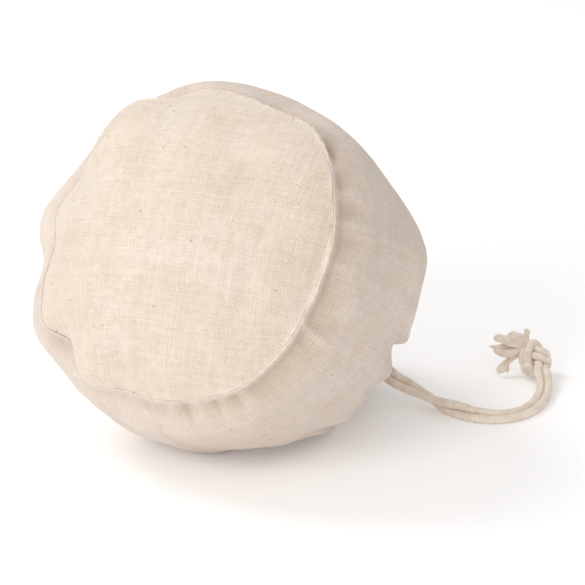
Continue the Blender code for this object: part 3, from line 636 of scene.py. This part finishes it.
def two_strands(count, apart=STRAND):
    centre = spline_through(ROUTE, count)
    tan = np.gradient(centre, axis=0)
    tan /= np.linalg.norm(tan, axis=1, keepdims=True)
    a, b = [], []
    for i, p in enumerate(centre):
        level = -np.cross([0, 0, 1.0], tan[i])
        level /= np.linalg.norm(level)
        up = -np.cross(tan[i], level)
        if up[2] < 0:
            up = -up
        t = twist_at(i / (count - 1))
        off = level * math.cos(t) + up * math.sin(t)
        low = CORD_R + 0.05
        lift = max(0.0, low - min((p + off * apart)[2], (p - off * apart)[2]))
        q = p + np.array([0, 0, lift])
        a.append(q + off * apart)
        b.append(q - off * apart)
    return np.array(a), np.array(b)


RINGS = 460
path_a, path_b = two_strands(RINGS, 1.05)      # soft cotton: the two lie pressed together


def braid(i, ang, pitch=26.0, seed=0.0):
    """Soft round braid: two sets of yarns crossing, plus a little unevenness."""
    z = i / pitch * 2 * np.pi
    one = np.abs(np.sin(4.0 * ang + z + seed))
    two = np.abs(np.sin(4.0 * ang - z - seed))
    return 0.16 * (np.maximum(one, two) - 0.88) + 0.03 * math.sin(i * 0.07 + seed) + 0.02 * math.sin(i * 0.19 + 2 * seed)


strand_a = tube_mesh("drawstring_strand_a_look", path_a, CORD_R - 0.01, CORD, 32, lambda i, g: braid(i, g, 13.0, 0.4))
strand_b = tube_mesh("drawstring_strand_b_look", path_b, CORD_R - 0.01, CORD, 32, lambda i, g: braid(i, g, 13.0, 1.9))

# ------------------------------------------------------------------ the overhand knot in the pair
KNOT_AT = np.array([79.0, 36.3, 4.65])
LEAN = math.radians(22.0)                      # the knot's flat side leans back from upright
K_RIGHT = np.array([1.0, 0.0, 0.0])
K_UP = np.array([0.0, math.sin(LEAN), math.cos(LEAN)])
K_OUT = np.array([0.0, -math.cos(LEAN), math.sin(LEAN)])


def from_knot(p):
    p = np.asarray(p, float)
    return KNOT_AT + p[..., :1] * K_RIGHT + p[..., 1:2] * K_UP + p[..., 2:3] * K_OUT


# How the pair runs: in at the front, up behind the wrap, over the top, down the left side,
# behind itself along the bottom, up the right side, across the front and out to the left
# under its own upper turn: one plain overhand knot.
TIE = ((1.5, -1.7, 3.4), (0.9, 0.3, 0.8), (0.3, 2.5, -1.5), (-0.9, 3.9, -0.4), (-2.6, 2.3, 1.9), (-3.6, -1.8, 3.3),
       (-3.0, -4.5, 4.3), (-0.4, -4.7, 0.9), (3.1, -2.0, -0.9), (3.5, -0.2, 1.5), (1.6, 0.8, 3.9),
       (-0.5, 1.8, 2.6), (-1.9, 2.4, 0.2), (-3.4, 2.6, -0.4), (-4.9, 2.8, 0.0))


def tie_knot(n=84, squash=0.86):
    """Lays both strands along the knot and pulls it snug: no stretch, no overlap."""
    start = 0.5 * (path_a[-1] + path_b[-1])
    lead = 0.5 * (path_a[-4] + path_b[-4])
    mid = spline_through([lead, start] + [from_knot(p) for p in TIE], n)
    tan = np.gradient(mid, axis=0)
    tan /= np.linalg.norm(tan, axis=1, keepdims=True)
    side = path_a[-1] - path_b[-1]
    side /= np.linalg.norm(side)
    x = np.zeros((2, n, 3))
    for i in range(n):
        side = side - tan[i] * (side @ tan[i])
        side /= np.linalg.norm(side)
        away = mid[i] - KNOT_AT
        flat = np.cross(tan[i], away / max(np.linalg.norm(away), 1e-6))
        if np.linalg.norm(flat) > 0.3:
            flat /= np.linalg.norm(flat)
            flat = flat if flat @ side > 0 else -flat
            side = side * 0.75 + flat * 0.25
            side /= np.linalg.norm(side)
        x[0, i], x[1, i] = mid[i] + side * 0.95, mid[i] - side * 0.95
    x[0, 0], x[1, 0] = path_a[-1], path_b[-1]
    fix = x[:, :1].copy()
    r = 1.1 * squash
    rest_len = np.linalg.norm(np.diff(x, axis=1), axis=2).mean() * 0.995
    flat_x = x.reshape(-1, 3)
    idx = np.arange(2 * n)
    same = (idx[:, None] // n) == (idx[None, :] // n)
    gap_ok = same & (np.abs(idx[:, None] - idx[None, :]) * rest_len < 2.6 * r)
    skip_pairs = gap_ok | (idx[:, None] >= idx[None, :])
    for it in range(260):
        d = flat_x[:, None] - flat_x[None]
        dist = np.linalg.norm(d, axis=2)
        hit = (dist < 2 * r) & ~skip_pairs
        ii, jj = np.where(hit)
        if len(ii):
            push = (2 * r - dist[ii, jj])[:, None] * d[ii, jj] / np.maximum(dist[ii, jj], 1e-6)[:, None] * 0.25
            np.add.at(flat_x, ii, push)
            np.add.at(flat_x, jj, -push)
        x = flat_x.reshape(2, n, 3)
        for _ in range(3):
            for par in (0, 1):
                a, b = x[:, par:-1:2], x[:, par + 1::2]
                m = min(a.shape[1], b.shape[1])
                v = b[:, :m] - a[:, :m]
                ln = np.linalg.norm(v, axis=2, keepdims=True)
                c = 0.5 * v * (1 - rest_len / np.maximum(ln, 1e-6)) * 0.8
                a[:, :m] += c
                b[:, :m] -= c
        x[:, 1:-1] += 0.10 * (0.5 * (x[:, :-2] + x[:, 2:]) - x[:, 1:-1])
        body = x[:, 8:-8]
        body += (KNOT_AT - body) * 0.002 * (np.linalg.norm(body - KNOT_AT, axis=2, keepdims=True) > 3.2)
        x[..., 2] = np.maximum(x[..., 2], 0.98)
        x[:, :1] = fix
        flat_x = x.reshape(-1, 3)
    return x[0].copy(), x[1].copy()


tied_a, tied_b = tie_knot()
knot_tubes = []
for k_, p_ in enumerate((tied_a, tied_b)):
    fine = spline_through(p_, 230)
    taper = 1.07 - 0.05 * smooth(0, 12, np.arange(230)) - 0.30 * smooth(205, 229, np.arange(230))
    knot_tubes.append(tube_mesh("strand_%d" % k_, fine, taper, CORD, 30,
                                lambda i, g, k_=k_: braid(i, g, 17.0, 0.9 + k_)))
knot = joined("drawstring_knot_look", knot_tubes)

# the cut ends have come apart into soft flattened plies: root, middle, tip, half-width, half-thickness
PLIES = (((-3.2, 3.0, 0.6), (-6.8, 4.4, 1.2), (-10.6, 5.5, 1.0), (0.9, 1.45, 1.15), 0.55),
         ((-3.4, 2.4, -0.2), (-7.6, 2.3, 0.6), (-12.0, 3.1, 0.4), (0.8, 1.35, 0.30), 0.55),
         ((-3.5, 2.0, 1.1), (-8.0, 1.2, 1.6), (-10.9, 2.0, 1.2), (0.7, 1.10, 0.55), 0.48),
         ((-3.6, 1.6, 0.5), (-7.0, -0.7, 0.7), (-9.6, -3.6, 0.6), (0.6, 0.80, 1.15), 0.60),
         ((-6.0, 0.0, -0.2), (-7.2, -1.6, -0.2), (-7.3, -3.7, -0.4), (0.38, 0.42, 0.46), 0.40),
         ((-1.9, 3.4, -0.6), (-2.1, 5.6, -0.6), (-2.0, 7.4, -0.9), (0.75, 0.55, 0.85), 0.36),
         ((-4.6, 3.4, -0.8), (-7.2, 5.5, -1.0), (-5.8, 7.1, -1.2), (0.30, 0.26, 0.20), 0.26),
         ((-2.2, 3.4, 1.0), (-4.6, 4.9, 1.5), (-6.6, 5.9, 1.3), (1.1, 1.70, 1.20), 0.60))


def ply(name, root, mid, tip, wide, thick, seed, n=60, sides=44):
    """A soft, flattened bundle of loose yarn, lumpy along its fibres, blunt and fuzzy at its end."""
    path = spline_through([from_knot(root), from_knot(mid), from_knot(tip)], n)
    path[:, 2] = np.maximum(path[:, 2], thick + 0.1)
    t = np.linspace(0, 1, n)
    width = np.where(t < 0.5, wide[0] + (wide[1] - wide[0]) * smooth(0, 0.5, t), wide[1] + (wide[2] - wide[1]) * smooth(0.5, 1, t))
    cap = np.sqrt(np.clip(1 - ((t - 0.90) / 0.10).clip(0, 1) ** 2, 0.03, 1))
    o = tube_mesh(name, path, 1.0, CORD, sides, None)
    tan = np.gradient(path, axis=0)
    tan /= np.linalg.norm(tan, axis=1, keepdims=True)
    ang = np.linspace(0, 2 * np.pi, sides, endpoint=False)
    turn = 0.45 * math.sin(seed * 2.1)
    co = []
    for i in range(n):
        v = K_OUT * math.cos(turn + 0.35 * t[i]) + K_UP * math.sin(turn + 0.35 * t[i])
        v = v - tan[i] * (v @ tan[i])
        v /= np.linalg.norm(v)
        u = np.cross(v, tan[i])
        yarns = (0.13 * np.abs(np.cos(3.5 * ang + seed * 1.7 + 0.015 * i)) + 0.07 * np.cos(11 * ang + seed * 2.3 - 0.02 * i)
                 + 0.05 * math.sin(0.22 * i + seed)) * (0.5 + 0.5 * t[i])
        rr = (1.0 + yarns) * cap[i]
        ragged = (0.30 * np.cos(4 * ang + seed * 3.1) + 0.18 * np.cos(9 * ang + seed)) * smooth(0.90, 1.0, t[i]) * min(width[i], 0.9)
        co.append(path[i] + (np.cos(ang) * rr * width[i])[:, None] * u
                  + (np.sin(ang) * rr * (thick - 0.12 * t[i]))[:, None] * v + ragged[:, None] * tan[i])
    co = np.vstack(co + [path[:1], path[-1:] + tan[-1:] * 0.05])
    co[:, 2] = np.maximum(co[:, 2], 0.05)
    o.data.vertices.foreach_set("co", (co * MM).ravel())
    o.data.update()
    return o


plies = [ply("frayed_ply_%d_look" % i, *p, seed=float(i)) for i, p in enumerate(PLIES, 1)]
for i, o in enumerate(plies[:7], 1):
    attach(o, "drawstring")
    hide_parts("frayed_ply_%d" % i)
plies[7].name = "frayed_ply_3b_look"
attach(plies[7], "drawstring")
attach(knot, "drawstring")
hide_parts("drawstring_knot")

# ------------------------------------------------------------------ base panel
PANEL_ROWS = 46
rho = np.sin(0.5 * np.pi * np.arange(1, PANEL_ROWS + 1) / PANEL_ROWS)[:, None]
pr = SEAM_R * rho
pa = -DOME * np.maximum(1 - rho ** 2.3, 0.0) ** 0.88
panel = base_at(pr, pa, th)
PITCHED = panel.copy()


def along(p):
    step = np.linalg.norm(np.diff(p, axis=0), axis=2).mean(1)
    return np.r_[0.0, np.cumsum(step)]


panel_s = along(panel)
panel_s = panel_s + np.linalg.norm(panel[0], axis=1).mean() * 0 + pr[0, 0]
d_panel = -(panel_s[-1] - panel_s)[:, None]
n_panel = -outward(panel)
if (n_panel[5] @ np.array([0, 0, -1.0])).mean() < 0:
    n_panel = -n_panel
raw_wall = wall_at(neck_profile(np.array([[0.0], [0.6], [1.2]])), np.array([[0.0], [0.6], [1.2]]), th)
n_seam = outward(raw_wall)[0]
n_seam = n_seam * np.sign((n_seam * np.stack([np.cos(th[0]), np.sin(th[0]), 0 * th[0]], -1)).sum(-1, keepdims=True))
n_seam = n_seam + n_panel[-1]
n_seam /= np.linalg.norm(n_seam, axis=1, keepdims=True)


def toward_seam(normals, d):
    """Near the seam both cloths are pushed the same way, so their edges stay together."""
    w = np.exp(-np.abs(d) / 1.6)[..., None]
    n = normals * (1 - w) + n_seam[None] * w
    return n / np.linalg.norm(n, axis=2, keepdims=True)


n_panel = toward_seam(n_panel, d_panel)
h = seam_relief(th, d_panel) + wrinkles(th, panel_s[:, None], 31, 0.45) * smooth(0, 14, pr)
# herbs show through as low lumps, and a soft crease crosses the right-hand part
px, py = panel[..., 0], panel[..., 1]
h = h + 0.42 * value_noise(px / 15.0, py / 15.0, 71) + 0.20 * value_noise(px / 7.0, py / 7.0, 72)
# marks on the base: a long soft crease, a small hollow, and the pleat at its lower left
h = h - 0.34 * np.exp(-((px - 26.0) / 1.5) ** 2) * smooth(-12, -4, py) * (1 - smooth(18, 28, py))
h = h + 0.45 * np.exp(-((px - 32.5) / 4.5) ** 2 - ((py - 4.0) / 14.0) ** 2)
h = h - 0.55 * np.exp(-((px - 25.6) / 2.4) ** 2 - ((py + 6.4) / 1.7) ** 2)
tuck = smooth(-30, -25, px) * (1 - smooth(-20, -9, px))
h = h + tuck * (0.38 * np.exp(-((py - 27.5) / 2.2) ** 2) - 0.30 * np.exp(-((py - 32.0) / 2.6) ** 2))
h = h - 0.30 * np.exp(-((px + 22) / 6.0) ** 2 - ((py - 22) / 4.0) ** 2)
for mx, my, wx, wy, high in ((-22, -16, 7, 9, 0.35), (-8, -28, 9, 5, 0.3), (10, -18, 8, 8, -0.3), (-6, 12, 10, 8, 0.3),
                             (14, 14, 8, 9, -0.3), (20, 30, 8, 5, 0.35), (-31, 4, 4, 6, -0.35), (24, -24, 7, 6, 0.3)):
    h = h + high * np.exp(-((px - mx) / wx) ** 2 - ((py - my) / wy) ** 2)
panel = panel + n_panel * h[..., None]
# colour only: low values give the base painted shade in its seam groove and hollows, high values give painted
# highlight on its ridges
panel_paint_shade = 1.05 * seam_relief(th, d_panel) + 0.45 * (h - seam_relief(th, d_panel))
# on the right-hand side, turned from the light, more painted shade in the stitch holes and in a band just inside the
# seam
on_right = np.exp(-(turn_from(th, 355) / 62.0) ** 4)
holes = np.maximum(np.cos(2 * np.pi * SEAM_R * th / 2.575 + 0.5 * wrapped_noise(th, 0 * th, 61, 1.0, 8)), 0.0) ** 3
panel_paint_shade = panel_paint_shade - on_right * (0.22 * np.exp(-((d_panel + 3.0) / 3.2) ** 2) * smooth(0.3, 1.4, -d_panel)
                                          + 0.75 * holes * np.exp(-((d_panel + 0.55) / 0.30) ** 2))
panel_paint_shade = np.clip(panel_paint_shade, -1.2, 1.2)
# seam allowance, folded inside
allow = []
for k_, (dr, da) in enumerate(((-0.35, 0.55), (-1.4, 0.75), (-3.4, 0.95), (-5.6, 1.1))):
    allow.append(PITCHED[-1] + np.stack([dr * np.cos(th[0]), dr * np.sin(th[0]), 0 * th[0] + da], -1))
panel_all = np.vstack([panel, np.array(allow)])
s_all = np.r_[panel_s, panel_s[-1] + np.array([0.6, 1.7, 3.7, 5.9])]
GRAIN = math.radians(9.2)             # how the cloth's threads lie across the base


def base_uv(i, j):
    s = 0.0 if i < 0 else s_all[i]
    t = 2 * np.pi * j / COLS + GRAIN
    return (s * math.cos(t), s * math.sin(t))


centre_a = -DOME + 0.0
tip = np.array([0, 0, centre_a - 0.42 * value_noise(np.array([0.0]), np.array([0.0]), 71)[0]])
world_panel = on_table(bag_to_world(panel_all))
base_panel = grid_mesh("base_panel_look", world_panel, base_uv, MUSLIN_BASE,
                       closed_start=bag_to_world(tip), thickness=0.38,
                       relief=np.vstack([panel_paint_shade, np.zeros((4, COLS))]))

# ------------------------------------------------------------------ side panel
near = np.array([0.0, 0.3, 0.6, 0.9, 1.2, 1.5, 1.85, 2.3, 2.8, 3.4, 4.1, 4.9, 5.8, 6.8, 7.9, 9.1])
rest = np.linspace(10.3, 57.0, 38)
foot = FOOT - (FOOT - 57.0) * (1 - np.linspace(0.06, 1.0, 18) ** 0.6) ** 1.0
wa = np.r_[near * 0.93, rest, np.sort(foot)[1:]]
wa = np.unique(np.round(wa, 3))
wr = neck_profile(wa)
# neck, casing and the hem turned back inside the mouth
tail = spline_through([(NECK, 66.0, 0), (10.75, 67.6, 0), (10.5, 68.9, 0), (10.8, 70.4, 0), (11.1, 72.4, 0),
                       (11.15, 75.2, 0), (10.9, 77.8, 0), (10.0, 80.0, 0), (8.2, 81.5, 0), (6.2, 81.2, 0),
                       (4.9, 79.6, 0), (4.35, 77.2, 0), (4.3, 74.6, 0), (4.6, 72.2, 0), (6.0, 70.0, 0),
                       (8.4, 69.2, 0)], 52)
wr, wa = np.r_[wr, tail[1:, 0]], np.r_[wa, tail[1:, 1]]
wall = wall_at(wr[:, None], wa[:, None], th)
wall[0] = PITCHED[-1]
rows_main = len(wr) - len(tail) + 1
wall_s = along(wall)
d_wall = wall_s[:, None]
n_wall = outward(wall)
if (n_wall[20, 0] @ np.array([1.0, 0, 0])) < 0:
    n_wall = -n_wall
n_wall = toward_seam(n_wall, d_wall)
A = wa[:, None].copy()
A_run = A.copy()
A_run[rows_main:] = np.maximum(A_run[rows_main:], 66.0)
rim = wr[:, None]
h = seam_relief(th, d_wall) + dents(th, d_wall, rim) * smooth(0.4, 3.4, d_wall) * (d_wall < 40)
h = h + wrinkles(th, wall_s[:, None], 91, 1.0) * smooth(1.5, 6.0, d_wall) * (1 - 0.7 * smooth(52, 66, A_run))
inner = np.ones_like(A)
k0 = int(np.argmax(wa))
inner[k0:] = np.linspace(1.0, 0.75, len(wa) - k0)[:, None]
fold = gathers(th, A_run) * inner * np.minimum(1.0, rim / 7.0)
side = 0.0 * th * A
for where, deep, wide in HOLLOWS:
    side = side - deep * np.exp(-(turn_from(th, where) / wide) ** 2)
h = h + fold + side * smooth(30.0, 46.0, A_run) * (1 - smooth(54.0, 64.0, A_run))
for where, at, wide, long_, high in SWELLS:
    across = np.radians(turn_from(th, where)) * np.maximum(rim, 15.0)
    h = h + high * np.exp(-(across / wide) ** 2 - ((A_run - at) / long_) ** 2) * smooth(0.3, 2.5, d_wall)
# side seam: the wall's two ends meet in a fold with its own roll and puckers
across = np.radians(turn_from(th, 84.0) + 5.0 * smooth(0.5, 6.0, d_wall)) * np.maximum(rim, 12.0)
fade = 1.0 - smooth(58.0, 68.0, A_run)
h = h + fade * (0.34 * np.exp(-((across - 0.9) / 0.8) ** 2) - 0.42 * np.exp(-(across / 0.55) ** 2)
                + 0.10 * np.exp(-np.abs(across) / 2.5) * value_noise(0 * th + wall_s[:, None] / 2.4, 0 * th * A, 77))
# casing stitch line pulls the cloth in
h = h - 0.45 * np.exp(-((A_run - 68.9) / 0.7) ** 2) * (np.arange(len(wa)) < k0)[:, None]
wall = wall + n_wall * h[..., None]
# colour only: the wall's seam, dents and folds give it painted highlight and painted shade, as on the base
fine = seam_relief(th, d_wall) + 0.55 * dents(th, d_wall, rim) * smooth(0.4, 3.4, d_wall) * (d_wall < 40)
# painted shade on the gathered shoulder right beside the seam, and on a wedge at the lower left
facing_on = np.exp(-(turn_from(th, 350) / 75.0) ** 4)
seam_band_paint_shade = -0.64 * facing_on * np.exp(-((d_wall - 4.4) / np.where(np.abs(turn_from(th, 38)) < 30, 8.5, 4.8)) ** 2) * smooth(0.9, 2.4, d_wall)
seam_band_paint_shade = seam_band_paint_shade - 0.60 * np.exp(-(turn_from(th, 125) / 9.0) ** 2) * np.exp(-((d_wall - 4.0) / 4.0) ** 2)
wall_paint_shade = np.clip(0.85 * fine + 0.35 * fold + seam_band_paint_shade, -1.2, 1.2) * np.where(A_run > 60, 0.6, 1.0)
# seam allowance of the wall, turned inside under the base's
allow = []
for dr, da in ((-5.6, 2.2), (-3.4, 2.05), (-1.4, 1.85), (-0.4, 1.4)):
    allow.append(PITCHED[-1] + np.stack([dr * np.cos(th[0]), dr * np.sin(th[0]), 0 * th[0] + da], -1))
wall_all = np.vstack([np.array(allow), wall])
wall_run = np.r_[np.array([-5.9, -3.7, -1.7, -0.6]), wall_s]
skip = len(allow)
world_wall = on_table(bag_to_world(wall_all))

# buttonhole: an oval opening through the casing's outer layer, where the cord leaves
local = (world_wall - exit_point) @ TURN
oval = (local[..., 1] / 2.95) ** 2 + (local[..., 2] / 1.55) ** 2
facing = (local[..., 0] > -3.5) & (local[..., 0] < 4.0)
outer_rows = np.zeros(world_wall.shape[:2], bool)
outer_rows[skip:skip + k0] = True
inside = (oval < 1.0) & facing & outer_rows
q = oval[:-1]
face_in = (np.roll(inside, -1, 1)[:-1] & inside[:-1] & inside[1:] & np.roll(inside, -1, 1)[1:])
some_in = (np.roll(inside, -1, 1)[:-1] | inside[:-1] | inside[1:] | np.roll(inside, -1, 1)[1:])
# push the ring of vertices just inside the oval out to its edge, then drop what is within
edge = inside & ~np.pad(face_in, ((0, 1), (0, 0)))
scale = 1.0 / np.sqrt(np.maximum(oval, 0.05))
for i, j in zip(*np.where(inside)):
    if oval[i, j] > 0.42:
        moved = local[i, j].copy()
        moved[1] *= scale[i, j]
        moved[2] *= scale[i, j]
        world_wall[i, j] = exit_point + TURN @ moved
drop = np.zeros((world_wall.shape[0] - 1, COLS), bool)
centre_oval = 0.25 * (oval[:-1] + oval[1:] + np.roll(oval, -1, 1)[:-1] + np.roll(oval, -1, 1)[1:])
drop = some_in & facing[:-1] & outer_rows[:-1] & (centre_oval < 0.95)
WALL_REF = 44.5


def side_uv(i, j):
    t = (2 * np.pi * j / COLS - math.radians(84.0))
    return (t * WALL_REF, wall_run[max(i, 0)])


side_panel = grid_mesh("side_panel_look", world_wall, side_uv, MUSLIN_SIDE, drop=drop, thickness=0.38,
                       relief=np.vstack([np.zeros((skip, COLS)), wall_paint_shade]))

# ------------------------------------------------------------------ the herb filling, just inside the cloth
def inside_of(points, normals, d, row_s, seed):
    """The cloth's own surface moved inwards, crumbly, leaving room for the seam allowances."""
    crumb = wrapped_noise(th, row_s, 70, 3.4, seed) + 0.5 * wrapped_noise(th, row_s, 150, 1.6, seed + 1)
    return points - normals * (1.9 + 2.0 * np.exp(-(d / 7.0) ** 2) + 0.28 * (crumb + 1.0))[..., None]


keep = [i for i in range(rows_main) if wall_s[i] > 1.5 and wa[i] < 58.0]
filling = np.vstack([inside_of(panel, n_panel, d_panel, panel_s[:, None], 301)[1:-8:2],
                     inside_of(wall, n_wall, d_wall, wall_s[:, None], 303)[keep]])
filling = bag_to_world(filling)
filling[..., 2] = np.maximum(filling[..., 2], 1.2)
rows_, cols_ = filling.shape[:2]
herb_verts = np.vstack([filling.reshape(-1, 3), filling[:1].mean(1), filling[-1:].mean(1)])
herb_faces = [(i * cols_ + j, i * cols_ + (j + 1) % cols_, (i + 1) * cols_ + (j + 1) % cols_, (i + 1) * cols_ + j)
              for i in range(rows_ - 1) for j in range(cols_)]
herb_faces += [(rows_ * cols_, (j + 1) % cols_, j) for j in range(cols_)]
herb_faces += [(rows_ * cols_ + 1, (rows_ - 1) * cols_ + j, (rows_ - 1) * cols_ + (j + 1) % cols_) for j in range(cols_)]
herb_mesh = bpy.data.meshes.new("herb_packing_look")
herb_mesh.from_pydata((herb_verts * MM).tolist(), [], herb_faces)
bm = bmesh.new()
bm.from_mesh(herb_mesh)
bmesh.ops.recalc_face_normals(bm, faces=bm.faces)
bm.to_mesh(herb_mesh)
bm.free()
herb_look = bpy.data.objects.new("herb_packing_look", herb_mesh)
scene.collection.objects.link(herb_look)

# ------------------------------------------------------------------ sewing threads inside the bag
edge = PITCHED[-1]
radial = np.stack([np.cos(th[0]), np.sin(th[0]), 0 * th[0]], -1)


def seam_ring(inward, up, count):
    """Points round the base seam; inward and up are in mm and may vary along it."""
    t = np.linspace(0, COLS, count)
    i = np.floor(t).astype(int) % COLS
    f = (t - np.floor(t))[:, None]
    p = edge[i] * (1 - f) + edge[(i + 1) % COLS] * f
    r = radial[i] * (1 - f) + radial[(i + 1) % COLS] * f
    return bag_to_world(p - r * np.reshape(inward, (-1, 1)) + np.array([0, 0, 1.0]) * np.reshape(up, (-1, 1)))


k_ = np.arange(901)
needle = tube_mesh("base_seam_needle_look", seam_ring(0.95 + 0 * k_, 0.55 + 0.25 * np.cos(k_ / 900 * 2 * np.pi * 100), 901),
                   0.15, THREAD, 6)
bobbin = tube_mesh("base_seam_bobbin_look", seam_ring(0.95 + 0 * k_, 1.25 - 0.25 * np.cos(k_ / 900 * 2 * np.pi * 100), 901),
                   0.15, THREAD, 6)
k_ = np.arange(1321)
ph = k_ / 1320 * 2 * np.pi * 110
overlock = tube_mesh("base_seam_overlock_look", seam_ring(4.7 + 1.3 * np.cos(ph), 1.65 + 1.15 * np.sin(ph), 1321),
                     0.14, THREAD, 6)



def down_side_seam(inward, sideways, stop, count):
    """Points just inside the wall beside its own seam, from the base seam towards the neck."""
    rows = int(np.argmin(np.abs(wa - stop)))
    t = np.linspace(2.0, rows, count)
    out = []
    for q_, ins, off in zip(t, np.broadcast_to(inward, (count,)), np.broadcast_to(sideways, (count,))):
        i = min(int(q_), rows - 1)
        f = q_ - i
        p = wall[i] * (1 - f) + wall[i + 1] * f
        n = n_wall[i] * (1 - f) + n_wall[i + 1] * f
        angle = 84.0 - 5.0 * float(smooth(0.5, 6.0, wall_s[i])) + math.degrees(off / max(wr[i], 12.0))
        j = angle / 360.0 * COLS
        j0 = int(math.floor(j))
        g = j - j0
        pos = p[j0 % COLS] * (1 - g) + p[(j0 + 1) % COLS] * g
        out.append(bag_to_world(pos - n[j0 % COLS] * ins))
    out = np.array(out)
    out[:, 2] = np.maximum(out[:, 2], 0.95)      # the cloth lies flat on the table here, and so does its seam
    return out


k_ = np.arange(420)
side_thread = tube_mesh("side_seam_thread_look", down_side_seam(1.15 + 0.2 * np.cos(k_ * 0.55), 0.0, 63.0, 420), 0.15, THREAD, 6)
k_ = np.arange(620)
side_over = tube_mesh("side_seam_overlock_look", down_side_seam(1.75 + 0.55 * np.sin(k_ * 0.62), 3.6 + 1.2 * np.cos(k_ * 0.62), 60.0, 620),
                      0.14, THREAD, 6)

# the casing's two threads sink into the stitch line, over and under; the buttonhole's go round its oval
row = int(np.argmin(np.abs(wa[:k0] - 68.9)))
STITCHES = 30


def casing_ring(offset, count=960):
    t = np.linspace(0, COLS, count)
    j = np.floor(t).astype(int) % COLS
    f = (t - np.floor(t))[:, None]
    p = wall[row][j] * (1 - f) + wall[row][(j + 1) % COLS] * f
    n = n_wall[row][j] * (1 - f) + n_wall[row][(j + 1) % COLS] * f
    return bag_to_world(p + n * offset[:, None])


phase_ = (np.arange(960) / 959.0 * STITCHES) % 1.0
dip = smooth(0.0, 0.16, phase_) * (1 - smooth(0.84, 1.0, phase_))
casing_needle = tube_mesh("casing_needle_look", casing_ring(-0.42 + 0.55 * dip), 0.15, THREAD, 6)
casing_bobbin = tube_mesh("casing_bobbin_look", casing_ring(-0.50 - 0.45 * dip), 0.15, THREAD, 6)

near_hole = outer_rows & facing & (oval < 6.0)
hole_xyz = local[near_hole]


def on_casing(y, z, lift):
    w = 1.0 / ((hole_xyz[:, 1] - y) ** 2 + (hole_xyz[:, 2] - z) ** 2 + 0.02) ** 2
    return exit_point + TURN @ np.array([(w * hole_xyz[:, 0]).sum() / w.sum() + lift, y, z])


hole_path = []
for k_ in range(521):
    g = 2 * math.pi * k_ / 520.0
    z_ = 0.5 + 0.5 * math.cos(k_ / 520.0 * 2 * math.pi * 40)
    grow = 1.02 + 0.34 * z_
    hole_path.append(on_casing(2.95 * grow * math.cos(g), 1.55 * (grow + 0.16 * z_) * math.sin(g), 0.06 + 0.10 * math.sin(math.pi * z_)))
buttonhole = tube_mesh("buttonhole_look", hole_path, 0.14, THREAD, 6)

# ------------------------------------------------------------------ what stands for what
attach(herb_look, "bag")
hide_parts("herb_packing", "herb_packing_lid")
for o, n in ((casing_needle, "casing_needle_thread"), (casing_bobbin, "casing_bobbin_thread"),
             (buttonhole, "buttonhole_thread")):
    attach(o, "bag")
    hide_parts(n)
for o, n in ((side_thread, "side_seam_thread"), (side_over, "side_seam_overlock_thread")):
    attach(o, "bag")
    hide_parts(n)
for o, n in ((needle, "base_seam_needle_thread"), (bobbin, "base_seam_bobbin_thread"),
             (overlock, "base_seam_overlock_thread")):
    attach(o, "bag")
    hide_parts(n)
for o, n in ((base_panel, "base_panel"), (side_panel, "side_panel")):
    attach(o, "bag")
    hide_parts(n)
for o, n in ((strand_a, "drawstring_strand_a"), (strand_b, "drawstring_strand_b")):
    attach(o, "drawstring")
    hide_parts(n)

# ------------------------------------------------------------------ everything carried over
HERBS = grown("herb_mix_look", (0.23, 0.17, 0.07), (0.50, 0.40, 0.20), 420.0, 0.9, 0.0006, flecks=(0.30, 0.34, 0.14))
PLAI = grown("plai_look", (0.62, 0.47, 0.16), (0.78, 0.63, 0.30), 300.0)
TURMERIC = grown("turmeric_look", (0.66, 0.28, 0.03), (0.82, 0.43, 0.07), 320.0)
LIME = grown("lime_peel_look", (0.13, 0.19, 0.05), (0.27, 0.33, 0.10), 500.0, 0.6)
LEMONGRASS = grown("lemongrass_look", (0.48, 0.50, 0.22), (0.72, 0.72, 0.44), 260.0, 0.7, 0.0002, (1.0, 1.0, 0.25))
CAMPHOR = grown("camphor_look", (0.82, 0.84, 0.86), (0.93, 0.94, 0.95), 600.0, 0.35)
herb_look.data.materials.append(HERBS)
LOOKS = (("herb_packing", HERBS), ("plai_slice", PLAI), ("turmeric_slice", TURMERIC), ("kaffir_lime_peel", LIME),
         ("lemongrass_stem", LEMONGRASS), ("camphor_lump", CAMPHOR), ("drawstring_loop", CORD),
         ("drawstring_knot", CORD), ("frayed_ply", CORD), ("base_seam", THREAD), ("side_seam", THREAD),
         ("casing_", THREAD), ("buttonhole_thread", THREAD))
for name, o in nodes.items():
    for start, look in LOOKS:
        if name.startswith(start):
            o.data.materials.clear()
            o.data.materials.append(look)
